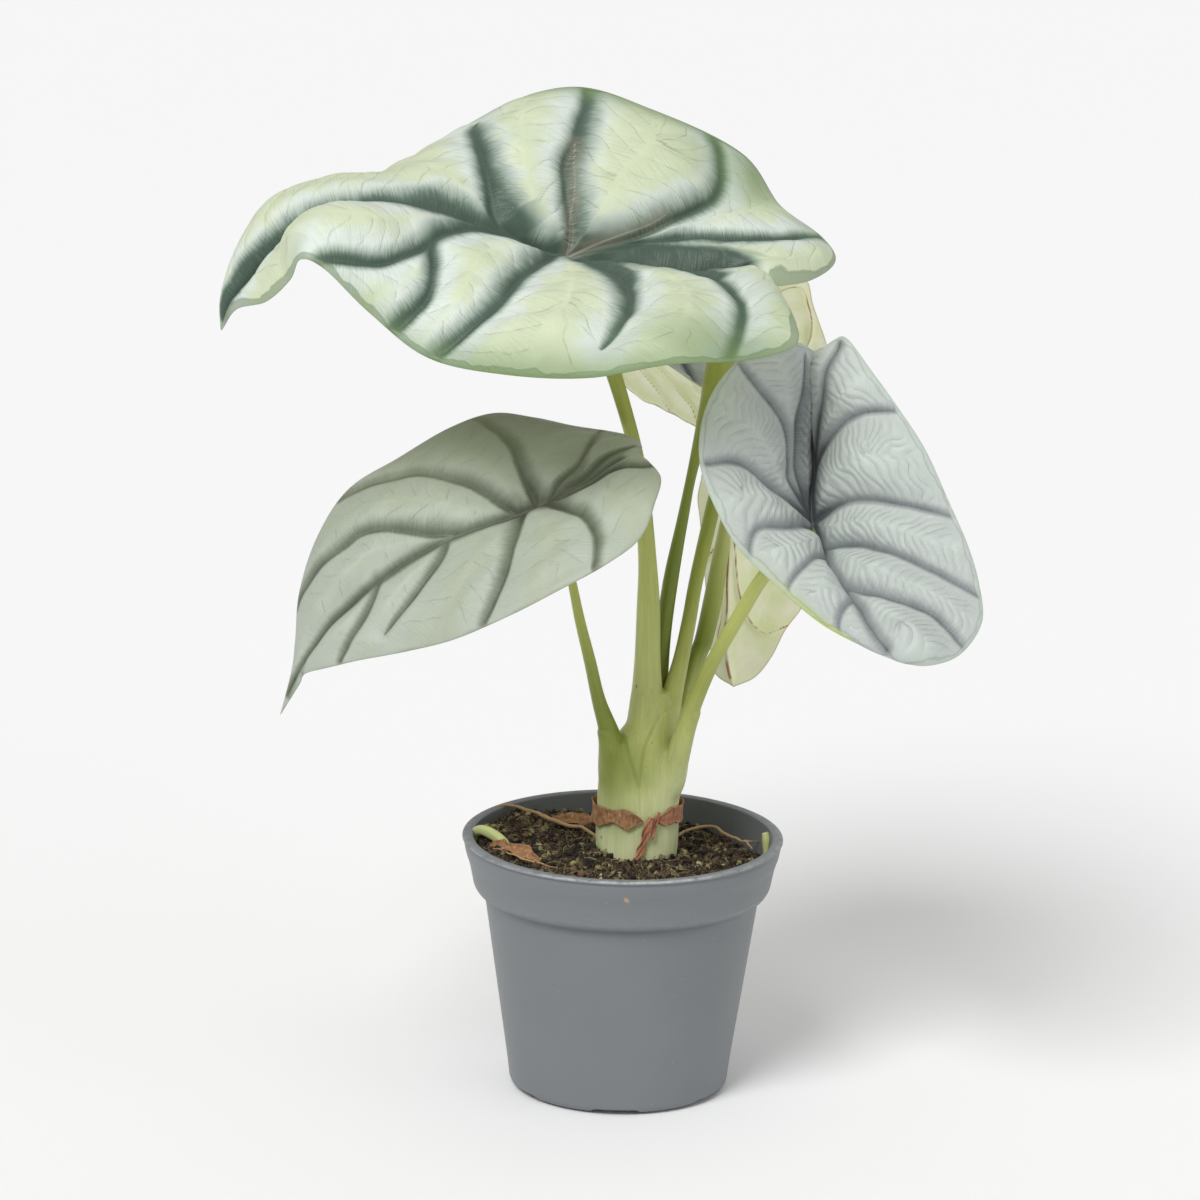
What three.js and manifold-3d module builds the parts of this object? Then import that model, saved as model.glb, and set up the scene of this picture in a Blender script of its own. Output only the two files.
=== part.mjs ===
// Potted silver dragon alocasia: six blades on six stalks, one crown, its soil and a round nursery pot.
// Millimetres, +Z up. The origin is the middle of the pot's base on the floor, and -Y is the front.

import * as THREE from "three";
import { mergeVertices } from "three/addons/utils/BufferGeometryUtils.js";
import Module from "manifold-3d";

const wasm = await Module();
wasm.setup();

// Driving dimensions

const FIT_GAP = 0.3;
const BLADE_THICKNESS = 1.0;
const POT_HEIGHT = 97;
const POT_LIP_RADIUS = 60;
const POT_FOOT_RADIUS = 37;
const POT_WALL = 1.6;
const SOIL_LEVEL = 88.5;
const CROWN_FOOT = 78;

const COLOURS = {
  pot: 0x6f757b,
  soil: 0x2c221b,
  crown: 0xb4c384,
  drySheath: 0x8a5a3c,
  stalk: 0x93a548,
  silverGreen: 0xc3d0bd,
  dullGreen: 0x9ba593,
  silverGrey: 0xb7c2bf,
};

// Shapes of the pot, as radius and height

const BAND_TOP = 94;
const BAND_TOP_RADIUS = 59.3;
const BAND_BOTTOM = 78.5;
const BAND_RADIUS = 55.6;
const BODY_TOP = 73;
const BODY_TOP_RADIUS = 51.2;
const BODY_CORNER = 10;
const BODY_CORNER_RADIUS = 41.9;
const MOUTH_FLARE = 2;
const BASE_UNDERSIDE = 3;
const BASE_TOP = 4.6;
const FOOT_RING_WIDTH = 3;
const BOSS_RADIUS = 12;
const DRAIN_HOLES = 8;
const DRAIN_HOLE_RADIUS = 3.5;
const DRAIN_CIRCLE = 23;
const FOOT_NOTCHES = 6;
const NOTCH_BOTTOM_WIDTH = 19;
const NOTCH_TOP_WIDTH = 14.2;
const NOTCH_HEIGHT = 2;
const NOTCH_REACH = 14;
const FOOT_TURN = -0.025;

// Rings of the crown from the buried foot to the top: middle x and y, half widths x and y, height

const CROWN_RINGS = [
  [5.2, 0, 12, 10, CROWN_FOOT],
  [5.2, 0, 15, 12.5, 88],
  [5.3, 0, 15.7, 13, 98],
  [5.4, 0, 15.3, 12.8, 112],
  [5.6, 0, 14.2, 11.6, 124],
  [7.0, 0, 12.2, 10.2, 133],
  [10.0, 0.5, 8.8, 8.2, 142],
  [10.0, 1, 8.0, 7.2, 149],
  [10.0, 1, 6.0, 5.4, 153],
];

const SHEATH_BOTTOM = 102.5;
const SHEATH_TOP = 110.5;
const SHEATH_THICKNESS = 0.9;

// Each blade: where the stalk meets it, then ribs from the notch to the tip. A rib is the point on the
// first edge, on the midrib and on the second edge, in mm from the place where the stalk meets the blade.
// The silvery face looks along (towards the tip) x (towards the second edge).
// A vein is a list of [rib number, share of the way to the edge], with the first edge negative.

const TOP_BLADE = {
  hub: [-25, -20, 321],
  arch: 6,
  quilt: 5,
  ribs: [
    [[76, 5, -10], [76, 5, -10], [76, 5, -10]],
    [[90, 18, -10], [59, 4, -9], [79, -20, -12]],
    [[99, 33, -6], [45, 2, -7], [83, -42, -13]],
    [[94, 47, 0], [28, 1, -4], [82, -53, -19]],
    [[79, 57, 9], [12, 0, -2], [64, -64, -22]],
    [[64, 56, 29], [0, 0, 0], [38, -72, -22]],
    [[31, 59, 44], [-10, -1, 3], [9, -74, -27]],
    [[0, 59, 52], [-21, -3, 8], [-21, -71, -27]],
    [[-33, 56, 40], [-35, -6, 14], [-48, -60, -24]],
    [[-54, 48, 23], [-50, -10, 20], [-69, -52, -10]],
    [[-68, 36, 13], [-65, -14, 22], [-85, -50, 5]],
    [[-85, 21, 17], [-81, -17, 19], [-94, -47, 8]],
    [[-108, 8, 14], [-95, -18, 10], [-98, -40, -1]],
    [[-119, -2, 0], [-109, -18, -3], [-107, -32, -11]],
    [[-124, -10, -15], [-119, -17, -14], [-118, -23, -16]],
    [[-124, -14, -26], [-124, -14, -26], [-124, -14, -26]],
  ],
  veins: [
    [[5.0, 0], [6.4, -0.35], [6.6, -0.6], [6.7, -0.85], [6.8, -1]],
    [[6.7, 0], [7.4, -0.05], [7.7, -0.25], [8.0, -0.75], [8.0, -0.9]],
    [[5.0, 0], [4.4, -0.2], [4.5, -0.45], [4.6, -0.7], [5.1, -0.9]],
    [[5.1, 0], [3.7, -0.3], [3.0, -0.5], [2.8, -0.65], [2.9, -0.9]],
    [[5.2, 0], [3.0, 0.05], [2.5, 0.3], [2.7, 0.55], [3.7, 0.85]],
    [[5.1, 0], [4.6, 0.25], [4.8, 0.5], [5.2, 0.7], [5.7, 0.85]],
    [[5.5, 0], [6.7, 0.35], [7.1, 0.6], [7.7, 0.9]],
    [[7.2, 0], [8.1, 0.1], [8.6, 0.3], [8.4, 0.5], [8.3, 0.7], [8.5, 0.92]],
    [[8.6, 0.3], [8.8, 0.45], [9.3, 0.7], [10.1, 0.94]],
  ],
};

const LEFT_BLADE = {
  hub: [-32, -38, 233],
  arch: 4,
  quilt: 2.4,
  ribs: [
    [[35, 4, 19], [35, 4, 19], [35, 4, 19]],
    [[36, 12, 20], [29, 3, 16], [39, -5, 18]],
    [[33, 21, 21], [21, 2, 12], [43, -12, 14]],
    [[24, 30, 21], [14, 1, 7], [41, -23, 8]],
    [[11, 37, 21], [6, 0, 4], [36, -32, -3]],
    [[-4, 41, 23], [0, 0, 0], [24, -40, -11]],
    [[-19, 38, 25], [-9, -1, -4], [7, -44, -20]],
    [[-35, 34, 20], [-18, -2, -7], [-10, -42, -30]],
    [[-53, 28, 10], [-30, -4, -11], [-30, -36, -41]],
    [[-71, 19, 0], [-42, -6, -17], [-48, -29, -48]],
    [[-82, 10, -16], [-55, -9, -25], [-65, -24, -53]],
    [[-88, 3, -35], [-69, -11, -37], [-76, -20, -57]],
    [[-89, -5, -51], [-80, -12, -50], [-85, -15, -61]],
    [[-90, -11, -61], [-88, -13, -63], [-87, -15, -65]],
    [[-94, -10, -78], [-94, -10, -78], [-94, -10, -78]],
  ],
  veins: [
    [[6.0, 0], [6.7, -0.2], [7.5, -0.5], [8.0, -0.7], [8.9, -0.9]],
    [[8.0, 0], [8.7, -0.15], [9.5, -0.5], [10.0, -0.6], [10.9, -0.85]],
    [[5.2, 0], [5.6, -0.35], [5.8, -0.6], [6.3, -0.9]],
    [[4.9, 0], [4.1, -0.1], [3.3, -0.35], [3.2, -0.9]],
    [[4.5, 0], [3.0, -0.1], [2.0, -0.3], [1.2, -0.7]],
    [[4.8, 0], [3.4, 0.15], [2.2, 0.25], [1.6, 0.7]],
    [[4.9, 0], [4.5, 0.4], [4.7, 0.7], [5.2, 0.95]],
    [[5.7, 0], [6.4, 0.35], [6.7, 0.55], [7.4, 0.95]],
    [[8.3, 0], [8.4, 0.2], [9.0, 0.55], [9.5, 0.8]],
    [[10.2, 0], [10.1, 0.4], [10.5, 0.9]],
  ],
};

const RIGHT_BLADE = {
  hub: [67, -34, 225],
  arch: 5,
  quilt: 4,
  ribs: [
    [[-1, 20, 62], [-1, 20, 62], [-1, 20, 62]],
    [[-6, 15, 66], [-1, 17, 51], [5, 15, 66]],
    [[-15, 9, 69], [-1, 14, 41], [10, 8, 70]],
    [[-27, 1, 64], [-1, 11, 30], [19, 1, 60]],
    [[-37, -7, 54], [0, 8, 20], [28, -5, 49]],
    [[-42, -16, 42], [-1, 4, 10], [39, -12, 34]],
    [[-42, -24, 29], [0, 0, 0], [48, -18, 16]],
    [[-37, -29, 16], [4, -9, -5], [55, -27, 2]],
    [[-28, -32, 1], [6, -20, -10], [59, -36, -10]],
    [[-14, -36, -12], [12, -32, -15], [60, -44, -22]],
    [[2, -42, -24], [18, -44, -21], [52, -52, -32]],
    [[17, -50, -30], [23, -54, -27], [40, -57, -35]],
    [[30, -56, -34], [30, -56, -34], [30, -56, -34]],
  ],
  veins: [
    [[5.7, 0], [4.6, -0.2], [3.2, -0.3], [2.1, -0.4], [1.2, -0.75]],
    [[5.6, 0], [3.6, 0.05], [2.8, 0.25], [2.2, 0.6], [2.0, 0.9]],
    [[5.6, 0], [5.1, -0.25], [4.5, -0.3], [3.6, -0.45], [3.3, -0.85]],
    [[5.8, 0], [5.7, -0.45], [5.5, -0.7], [5.9, -0.95]],
    [[6.3, 0], [7.1, -0.4], [7.4, -0.7], [8.0, -0.9]],
    [[5.7, 0], [4.0, 0.05], [3.6, 0.45], [3.7, 0.7], [4.1, 0.95]],
    [[5.8, 0], [5.5, 0.25], [5.6, 0.5], [6.2, 0.9]],
    [[7.0, 0], [7.2, 0.3], [7.6, 0.55], [8.2, 0.9]],
    [[8.9, 0], [9.2, 0.3], [9.3, 0.6], [9.7, 0.9]],
    [[7.5, 0], [8.4, -0.4], [9.1, -0.9]],
    [[9.4, 0], [9.9, -0.45], [10.3, -0.8]],
  ],
};

const BACK_LEFT_BLADE = {
  hub: [37, 42, 243],
  arch: 2,
  quilt: 2.6,
  ribs: [
    [[11, -20, 6], [11, -20, 6], [11, -20, 6]],
    [[15, -7, 6], [8, -14, 4], [14, -23, 4]],
    [[16, 5, 8], [5, -9, 2], [14, -27, 6]],
    [[14, 18, 11], [3, -4, 1], [7, -28, 12]],
    [[8, 28, 15], [0, 0, 0], [0, -27, 18]],
    [[-1, 36, 19], [-6, 6, -1], [-10, -21, 21]],
    [[-11, 44, 23], [-13, 13, 0], [-21, -12, 26]],
    [[-23, 49, 27], [-21, 20, 3], [-31, -2, 30]],
    [[-34, 51, 29], [-31, 28, 6], [-40, 11, 30]],
    [[-44, 49, 29], [-40, 35, 11], [-48, 25, 29]],
    [[-52, 46, 25], [-48, 41, 17], [-52, 37, 26]],
    [[-56, 46, 22], [-56, 46, 22], [-56, 46, 22]],
  ],
  veins: [
    [[4.0, 0], [3.0, 0.4], [2.4, 0.9]],
    [[4.0, 0], [3.0, -0.4], [2.4, -0.9]],
    [[4.2, 0], [4.6, 0.5], [5.4, 0.95]],
    [[4.2, 0], [4.6, -0.5], [5.4, -0.95]],
    [[5.6, 0], [6.2, 0.45], [7.2, 0.9]],
    [[5.6, 0], [6.2, -0.45], [7.2, -0.9]],
    [[7.0, 0], [7.8, 0.45], [8.8, 0.9]],
    [[7.0, 0], [7.8, -0.45], [8.8, -0.9]],
  ],
};

const BACK_LOW_BLADE = {
  hub: [37, 36, 215],
  arch: 4,
  quilt: 2.4,
  ribs: [
    [[-1, 1, 11], [-1, 1, 11], [-1, 1, 11]],
    [[4, 7, 14], [-1, 1, 9], [-5, 7, 14]],
    [[12, 9, 13], [-1, 0, 7], [-9, 12, 12]],
    [[22, 10, 9], [0, 0, 3], [-10, 17, 6]],
    [[30, 10, 3], [0, 0, 0], [-11, 21, -2]],
    [[33, 9, -8], [0, 0, -5], [-10, 22, -10]],
    [[35, 9, -19], [1, 1, -11], [-9, 24, -19]],
    [[33, 10, -31], [1, 3, -21], [-8, 26, -29]],
    [[29, 9, -41], [1, 4, -31], [-7, 25, -39]],
    [[23, 6, -49], [1, 4, -41], [-6, 22, -49]],
    [[18, 4, -59], [1, 4, -53], [-5, 15, -59]],
    [[12, 4, -67], [2, 4, -64], [-3, 8, -67]],
    [[4, 4, -71], [4, 4, -71], [4, 4, -71]],
  ],
  veins: [
    [[4.2, 0], [6.0, 0.1], [8.5, 0.3], [10.0, 0.6]],
    [[4.4, 0], [6.2, -0.05], [8.1, -0.15], [9.1, -0.4], [9.3, -0.75], [8.8, -1]],
    [[4.0, 0], [2.9, -0.5], [2.6, -0.9]],
    [[4.0, 0], [3.9, -0.5], [4.2, -0.95]],
    [[4.0, 0], [2.9, 0.5], [2.4, 0.9]],
    [[4.6, 0], [6.0, -0.35], [6.3, -0.9]],
    [[5.0, 0], [6.3, 0.6], [6.9, 0.95]],
  ],
};

const BACK_HIGH_BLADE = {
  hub: [44, 30, 289],
  arch: 3,
  quilt: 2.6,
  ribs: [
    [[-1, -9, 12], [-1, -9, 12], [-1, -9, 12]],
    [[3, -7, 17], [-1, -7, 9], [-6, -7, 15]],
    [[11, -3, 18], [-1, -5, 6], [-11, -3, 13]],
    [[17, 2, 17], [-1, -3, 3], [-15, 1, 7]],
    [[21, 8, 12], [0, 0, 0], [-15, 6, 0]],
    [[23, 14, 3], [2, 5, -5], [-12, 11, -8]],
    [[26, 20, -6], [6, 11, -10], [-8, 16, -14]],
    [[29, 24, -15], [10, 17, -16], [-4, 20, -21]],
    [[30, 26, -23], [14, 23, -23], [2, 23, -27]],
    [[29, 27, -30], [18, 28, -29], [8, 26, -32]],
    [[26, 29, -36], [22, 32, -35], [15, 29, -36]],
    [[25, 35, -41], [25, 35, -41], [25, 35, -41]],
  ],
  veins: [
    [[4.0, 0], [3.5, -0.6], [3.9, -0.85], [4.9, -0.92], [6.0, -0.85], [7.3, -0.55]],
    [[4.0, 0], [2.6, -0.4], [2.2, -0.9]],
    [[4.0, 0], [2.8, 0.6], [2.4, 0.9]],
    [[4.4, 0], [5.2, 0.6], [6.0, 0.95]],
    [[5.2, 0], [6.9, -0.35], [8.2, -0.85]],
    [[6.0, 0], [6.9, 0.6], [7.8, 0.95]],
    [[7.2, 0], [8.2, 0.45], [9.0, 0.9]],
  ],
};

// Each stalk: points along its middle as x, y and z, then its radius there. The first point is inside
// the crown and the last is where it meets its blade.

const TOP_STALK = [
  [6.2, 0, 128, 7.0], [7.8, 0, 146, 6.3], [7.9, 0, 164, 4.9], [7.8, 0, 185, 4.3], [7.1, 0, 203, 3.4],
  [4.8, -2, 228, 2.9], [1.8, -4.5, 246, 2.6], [-3, -8, 264, 2.7], [-8.6, -11.5, 282, 3.0],
  [-12.8, -14, 294, 3.2], [-24, -20, 320, 3.2],
];
const LEFT_STALK = [
  [-2.2, -3, 120, 6.0], [-4.9, -8, 136, 4.1], [-9.9, -14, 153, 2.6], [-13.5, -20.5, 170, 2.2],
  [-17.4, -27, 187, 1.9], [-21, -33, 205, 1.6], [-24.5, -36, 216, 1.6], [-31, -37, 232, 1.6],
];
const RIGHT_STALK = [
  [17, -6, 118, 4.2], [19.5, -10, 131, 3.9], [23, -13, 146, 3.4], [31, -18, 168, 2.7],
  [42, -24, 191, 2.6], [50, -28, 206, 2.6], [58.5, -31, 215, 2.6], [69, -34, 226, 2.5],
];
const BACK_HIGH_STALK = [
  [11.5, 5, 131, 4.0], [12.6, 8, 151, 3.1], [13.6, 9, 172, 2.9], [16, 9.5, 193.5, 2.8],
  [19.8, 10, 216, 2.1], [23.3, 10, 236, 1.9], [28.7, 10.5, 260, 3.5], [31.1, 13, 269, 4.8],
  [33.9, 17, 277, 4.8], [40, 22, 283, 4.0], [43, 29, 288, 3.0],
];
const BACK_LEFT_STALK = [
  [14, -1, 132.5, 4.6], [17, 2, 149, 4.0], [20.4, 5, 164, 3.0], [23.1, 9, 178, 2.7],
  [25.5, 13, 192.6, 2.6], [30.2, 20, 214, 2.7], [32.6, 25, 224, 2.5], [36, 33, 233, 2.3],
  [37, 41, 242, 2.3],
];
const BACK_LOW_STALK = [
  [21, 4, 131, 3.7], [21.6, 6, 140, 3.6], [25.7, 13, 160, 3.4], [28.9, 16, 169, 3.4],
  [32, 21, 183, 3.5], [34.4, 27.5, 197, 3.0], [37, 35, 214, 2.0],
];

// Helpers for meshes and joins

function geometryFrom(points, triangles) {
  const geometry = new THREE.BufferGeometry();
  geometry.setAttribute("position", new THREE.Float32BufferAttribute(points.flat(), 3));
  geometry.setIndex(triangles.flat());
  return geometry;
}

function toSolid(geometry) {
  const bare = geometry.clone();
  bare.deleteAttribute("normal");
  bare.deleteAttribute("uv");
  const merged = mergeVertices(bare, 1e-4);
  return new wasm.Manifold(new wasm.Mesh({
    numProp: 3,
    vertProperties: new Float32Array(merged.attributes.position.array),
    triVerts: new Uint32Array(merged.index.array),
  }));
}

function fromSolid(solid) {
  const mesh = solid.getMesh();
  const geometry = new THREE.BufferGeometry();
  geometry.setAttribute("position", new THREE.BufferAttribute(new Float32Array(mesh.vertProperties), 3));
  geometry.setIndex(new THREE.BufferAttribute(new Uint32Array(mesh.triVerts), 1));
  return geometry;
}

function largestPiece(solid) {
  return solid.decompose().reduce((best, piece) => (piece.volume() > best.volume() ? piece : best));
}

function piece(name, geometry, colour, roughness) {
  geometry.deleteAttribute("normal");
  geometry.deleteAttribute("uv");
  geometry.computeVertexNormals();
  const material = new THREE.MeshStandardMaterial({ color: colour, roughness, metalness: 0 });
  const mesh = new THREE.Mesh(geometry, material);
  mesh.name = name;
  return mesh;
}

// A closed solid from rings of equal length, with the ends closed by fans. Rings run anticlockwise
// when seen from the end of the solid.
function loft(rings) {
  const points = rings.flat();
  const triangles = [];
  const count = rings[0].length;
  for (let ring = 0; ring < rings.length - 1; ring++) {
    for (let i = 0; i < count; i++) {
      const a = ring * count + i;
      const b = ring * count + (i + 1) % count;
      triangles.push([a, b, b + count], [a, b + count, a + count]);
    }
  }
  const middle = (ring) => [0, 1, 2].map((k) => ring.reduce((sum, p) => sum + p[k], 0) / count);
  const last = (rings.length - 1) * count;
  points.push(middle(rings[0]), middle(rings[rings.length - 1]));
  for (let i = 0; i < count; i++) {
    const next = (i + 1) % count;
    triangles.push([points.length - 2, next, i], [points.length - 1, last + i, last + next]);
  }
  return geometryFrom(points, triangles);
}

// Smooth curve through the points, one point for each whole number of t
function through(points, t) {
  const last = points.length - 1;
  const i = Math.min(Math.floor(t), last - 1);
  const w = t - i;
  const at = (k) => points[Math.max(0, Math.min(last, k))];
  const before = i > 0 ? at(i - 1) : at(0).map((value, k) => 2 * value - at(1)[k]);
  const after = i < last - 1 ? at(i + 2) : at(last).map((value, k) => 2 * value - at(last - 1)[k]);
  return at(i).map((p1, k) => {
    const p0 = before[k];
    const p2 = at(i + 1)[k];
    const p3 = after[k];
    const square = (2 * p0 - 5 * p1 + 4 * p2 - p3) * w * w;
    const cube = (3 * p1 - p0 - 3 * p2 + p3) * w * w * w;
    return 0.5 * (2 * p1 + (p2 - p0) * w + square + cube);
  });
}

// Blades

function flatPoint(blade, u, v) {
  const side = v < 0 ? 0 : 2;
  const middle = through(blade.ribs.map((rib) => rib[1]), u);
  const edge = through(blade.ribs.map((rib) => rib[side]), u);
  return new THREE.Vector3(...middle.map((m, k) => m + (edge[k] - m) * Math.abs(v) + blade.hub[k]));
}

function upperNormal(blade, u, v) {
  const step = 0.02;
  const last = blade.ribs.length - 1;
  const inner = Math.min(Math.max(u, 0.15), last - 0.15);
  const along = flatPoint(blade, inner + step, v).sub(flatPoint(blade, inner - step, v));
  const across = flatPoint(blade, inner, Math.min(v + step, 1)).sub(flatPoint(blade, inner, Math.max(v - step, -1)));
  return along.cross(across).normalize();
}

function veinPoints(blade) {
  const points = [];
  const last = blade.ribs.length - 1;
  for (const vein of blade.veins) {
    for (let t = 0; t <= vein.length - 1; t += 0.1) {
      const [u, v] = through(vein, t);
      points.push(flatPoint(blade, u, v));
    }
  }
  for (let u = 1; u <= last - 0.5; u += 0.1) {
    points.push(flatPoint(blade, u, 0));
  }
  return points;
}

// How far the sheet stands above its flat form: it bulges between midrib and edge, and every panel
// between the veins is puffed up like a quilt.
function swell(blade, point, u, v, veins) {
  const share = Math.abs(v);
  const width = flatPoint(blade, u, Math.sign(v) || 1).distanceTo(flatPoint(blade, u, 0));
  const toVein = Math.min(...veins.map((vein) => vein.distanceTo(point)));
  const toEdge = (1 - share) * width;
  const arch = blade.arch * 4 * share * (1 - share) * Math.min(width / 30, 1);
  return arch + blade.quilt * (1 - Math.exp(-toVein / 8)) * (1 - Math.exp(-toEdge / 7));
}

function bladeSheet(blade, across) {
  const veins = veinPoints(blade);
  const last = blade.ribs.length - 1;
  const rows = [];
  for (let i = 0; i <= last * 2; i++) {
    const u = i / 2;
    const pinched = i === 0 || i === last * 2;
    const row = [];
    for (let j = pinched ? 0 : -across; j <= (pinched ? 0 : across); j++) {
      const v = j / across;
      const point = flatPoint(blade, u, v);
      const normal = upperNormal(blade, u, v);
      const height = pinched ? 0 : swell(blade, point, u, v, veins);
      row.push({ point: point.addScaledVector(normal, height), normal });
    }
    rows.push(row);
  }
  return rows;
}

function bladeTriangles(rows, offsets) {
  const triangles = [];
  const widest = rows[1].length;
  for (let i = 0; i < rows.length - 1; i++) {
    for (let j = 0; j < widest - 1; j++) {
      const a = offsets[i] + Math.min(j, rows[i].length - 1);
      const b = offsets[i] + Math.min(j + 1, rows[i].length - 1);
      const c = offsets[i + 1] + Math.min(j + 1, rows[i + 1].length - 1);
      const d = offsets[i + 1] + Math.min(j, rows[i + 1].length - 1);
      const flip = j < (widest - 1) / 2;
      const pair = flip ? [[a, d, c], [a, c, b]] : [[a, d, b], [b, d, c]];
      triangles.push(...pair.filter(([p, q, r]) => p !== q && q !== r && p !== r));
    }
  }
  return triangles;
}

// A sheet with its two faces split into triangles alike, closed by a rim round the edge
function bladeGeometry(rows, thickness) {
  const offsets = [];
  const upper = [];
  const lower = [];
  for (const row of rows) {
    offsets.push(upper.length);
    for (const { point, normal } of row) {
      upper.push(point.clone().addScaledVector(normal, thickness / 2).toArray());
      lower.push(point.clone().addScaledVector(normal, -thickness / 2).toArray());
    }
  }
  const top = bladeTriangles(rows, offsets);
  const count = upper.length;
  const triangles = [...top];
  for (const [a, b, c] of top) {
    triangles.push([a + count, c + count, b + count]);
  }
  const firstEdge = rows.map((row, i) => offsets[i]);
  const secondEdge = rows.map((row, i) => offsets[i] + row.length - 1);
  const rim = [...firstEdge, ...secondEdge.slice(1, -1).reverse()];
  for (let k = 0; k < rim.length; k++) {
    const a = rim[k];
    const b = rim[(k + 1) % rim.length];
    triangles.push([b, a, a + count], [b, a + count, b + count]);
  }
  return geometryFrom([...upper, ...lower], triangles);
}

// Stalks

function stalkGeometry(points, sides) {
  const curve = new THREE.CatmullRomCurve3(points.map(([x, y, z]) => new THREE.Vector3(x, y, z)));
  const steps = (points.length - 1) * 2;
  const frames = curve.computeFrenetFrames(steps, false);
  const rings = [];
  for (let i = 0; i <= steps; i++) {
    const share = i / steps;
    const middle = curve.getPointAt(share);
    const t = curve.getUtoTmapping(share) * (points.length - 1);
    const radius = through(points, t)[3];
    rings.push(Array.from({ length: sides }, (unused, k) => {
      const angle = (k / sides) * 2 * Math.PI;
      return middle.clone()
        .addScaledVector(frames.normals[i], radius * Math.cos(angle))
        .addScaledVector(frames.binormals[i], radius * Math.sin(angle))
        .toArray();
    }));
  }
  return loft(rings);
}

// Crown and the dry sheath round it

function crownRing([x, y, halfX, halfY, z], extra, sides) {
  return Array.from({ length: sides }, (unused, k) => {
    const angle = (k / sides) * 2 * Math.PI;
    return [x + (halfX + extra) * Math.cos(angle), y + (halfY + extra) * Math.sin(angle), z];
  });
}

function crownGeometry(extra) {
  const rings = CROWN_RINGS.map((ring) => crownRing(ring, extra, 20));
  const last = CROWN_RINGS.length - 1;
  rings[0].forEach((point) => { point[2] -= extra; });
  rings[last].forEach((point) => { point[2] += extra; });
  return loft(rings);
}

function sheathGeometry() {
  const sides = 24;
  const [x, y] = CROWN_RINGS[3];
  const inner = FIT_GAP + 0.4;
  const ringAt = (extra, z, wave) => Array.from({ length: sides }, (unused, k) => {
    const angle = (k / sides) * 2 * Math.PI;
    const ragged = wave * (Math.sin(3 * angle + 1) + 0.6 * Math.sin(7 * angle));
    return [x + (15.7 + extra) * Math.cos(angle), y + (13 + extra) * Math.sin(angle), z + ragged];
  });
  const outer = inner + SHEATH_THICKNESS;
  const skin = [
    ringAt(inner, SHEATH_BOTTOM, 0.5), ringAt(outer, SHEATH_BOTTOM, 0.5),
    ringAt(outer + 0.2, (SHEATH_BOTTOM + SHEATH_TOP) / 2, 0), ringAt(outer, SHEATH_TOP, 0.8),
    ringAt(inner, SHEATH_TOP, 0.8),
  ];
  const triangles = [];
  for (let ring = 0; ring < skin.length; ring++) {
    for (let k = 0; k < sides; k++) {
      const next = (k + 1) % sides;
      const above = ((ring + 1) % skin.length) * sides;
      triangles.push([ring * sides + k, ring * sides + next, above + next]);
      triangles.push([ring * sides + k, above + next, above + k]);
    }
  }
  return geometryFrom(skin.flat(), triangles);
}

// Pot and soil

function innerWall(z) {
  if (z > BAND_BOTTOM) {
    return BAND_RADIUS - POT_WALL + (z - BAND_BOTTOM) * (MOUTH_FLARE / (POT_HEIGHT - BAND_BOTTOM));
  }
  const share = (z - BODY_CORNER) / (BODY_TOP - BODY_CORNER);
  return BODY_CORNER_RADIUS - POT_WALL + share * (BODY_TOP_RADIUS - BODY_CORNER_RADIUS);
}

function turned(profile, segments) {
  const geometry = new THREE.LatheGeometry(profile.map(([r, z]) => new THREE.Vector2(r, z)), segments);
  return geometry.rotateX(Math.PI / 2);
}

function potProfile() {
  return [
    [0, 0],
    [BOSS_RADIUS, 0],
    [BOSS_RADIUS + 0.5, BASE_UNDERSIDE],
    [POT_FOOT_RADIUS - FOOT_RING_WIDTH, BASE_UNDERSIDE],
    [POT_FOOT_RADIUS - FOOT_RING_WIDTH, 0],
    [POT_FOOT_RADIUS, 0],
    [BODY_CORNER_RADIUS - 2.1, 1],
    [BODY_CORNER_RADIUS - 0.9, 2.5],
    [BODY_CORNER_RADIUS, BODY_CORNER],
    [BODY_TOP_RADIUS, BODY_TOP],
    [BODY_TOP_RADIUS + 1.3, BODY_TOP + 1],
    [BAND_RADIUS - 1, BAND_BOTTOM - 2.9],
    [BAND_RADIUS, BAND_BOTTOM],
    [BAND_RADIUS + 1.7, BAND_BOTTOM + 8.5],
    [BAND_TOP_RADIUS - 0.7, BAND_TOP - 3.5],
    [BAND_TOP_RADIUS, BAND_TOP],
    [BAND_TOP_RADIUS, POT_HEIGHT - 1.4],
    [POT_LIP_RADIUS, POT_HEIGHT - 1],
    [POT_LIP_RADIUS, POT_HEIGHT - 0.4],
    [POT_LIP_RADIUS - 0.6, POT_HEIGHT],
    [innerWall(POT_HEIGHT), POT_HEIGHT],
    [innerWall(BAND_BOTTOM + 1), BAND_BOTTOM + 1],
    [innerWall(BODY_TOP), BODY_TOP],
    [innerWall(BODY_CORNER), BODY_CORNER],
    [BODY_CORNER_RADIUS - POT_WALL - 2.4, BASE_TOP],
    [0, BASE_TOP],
  ];
}

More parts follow.
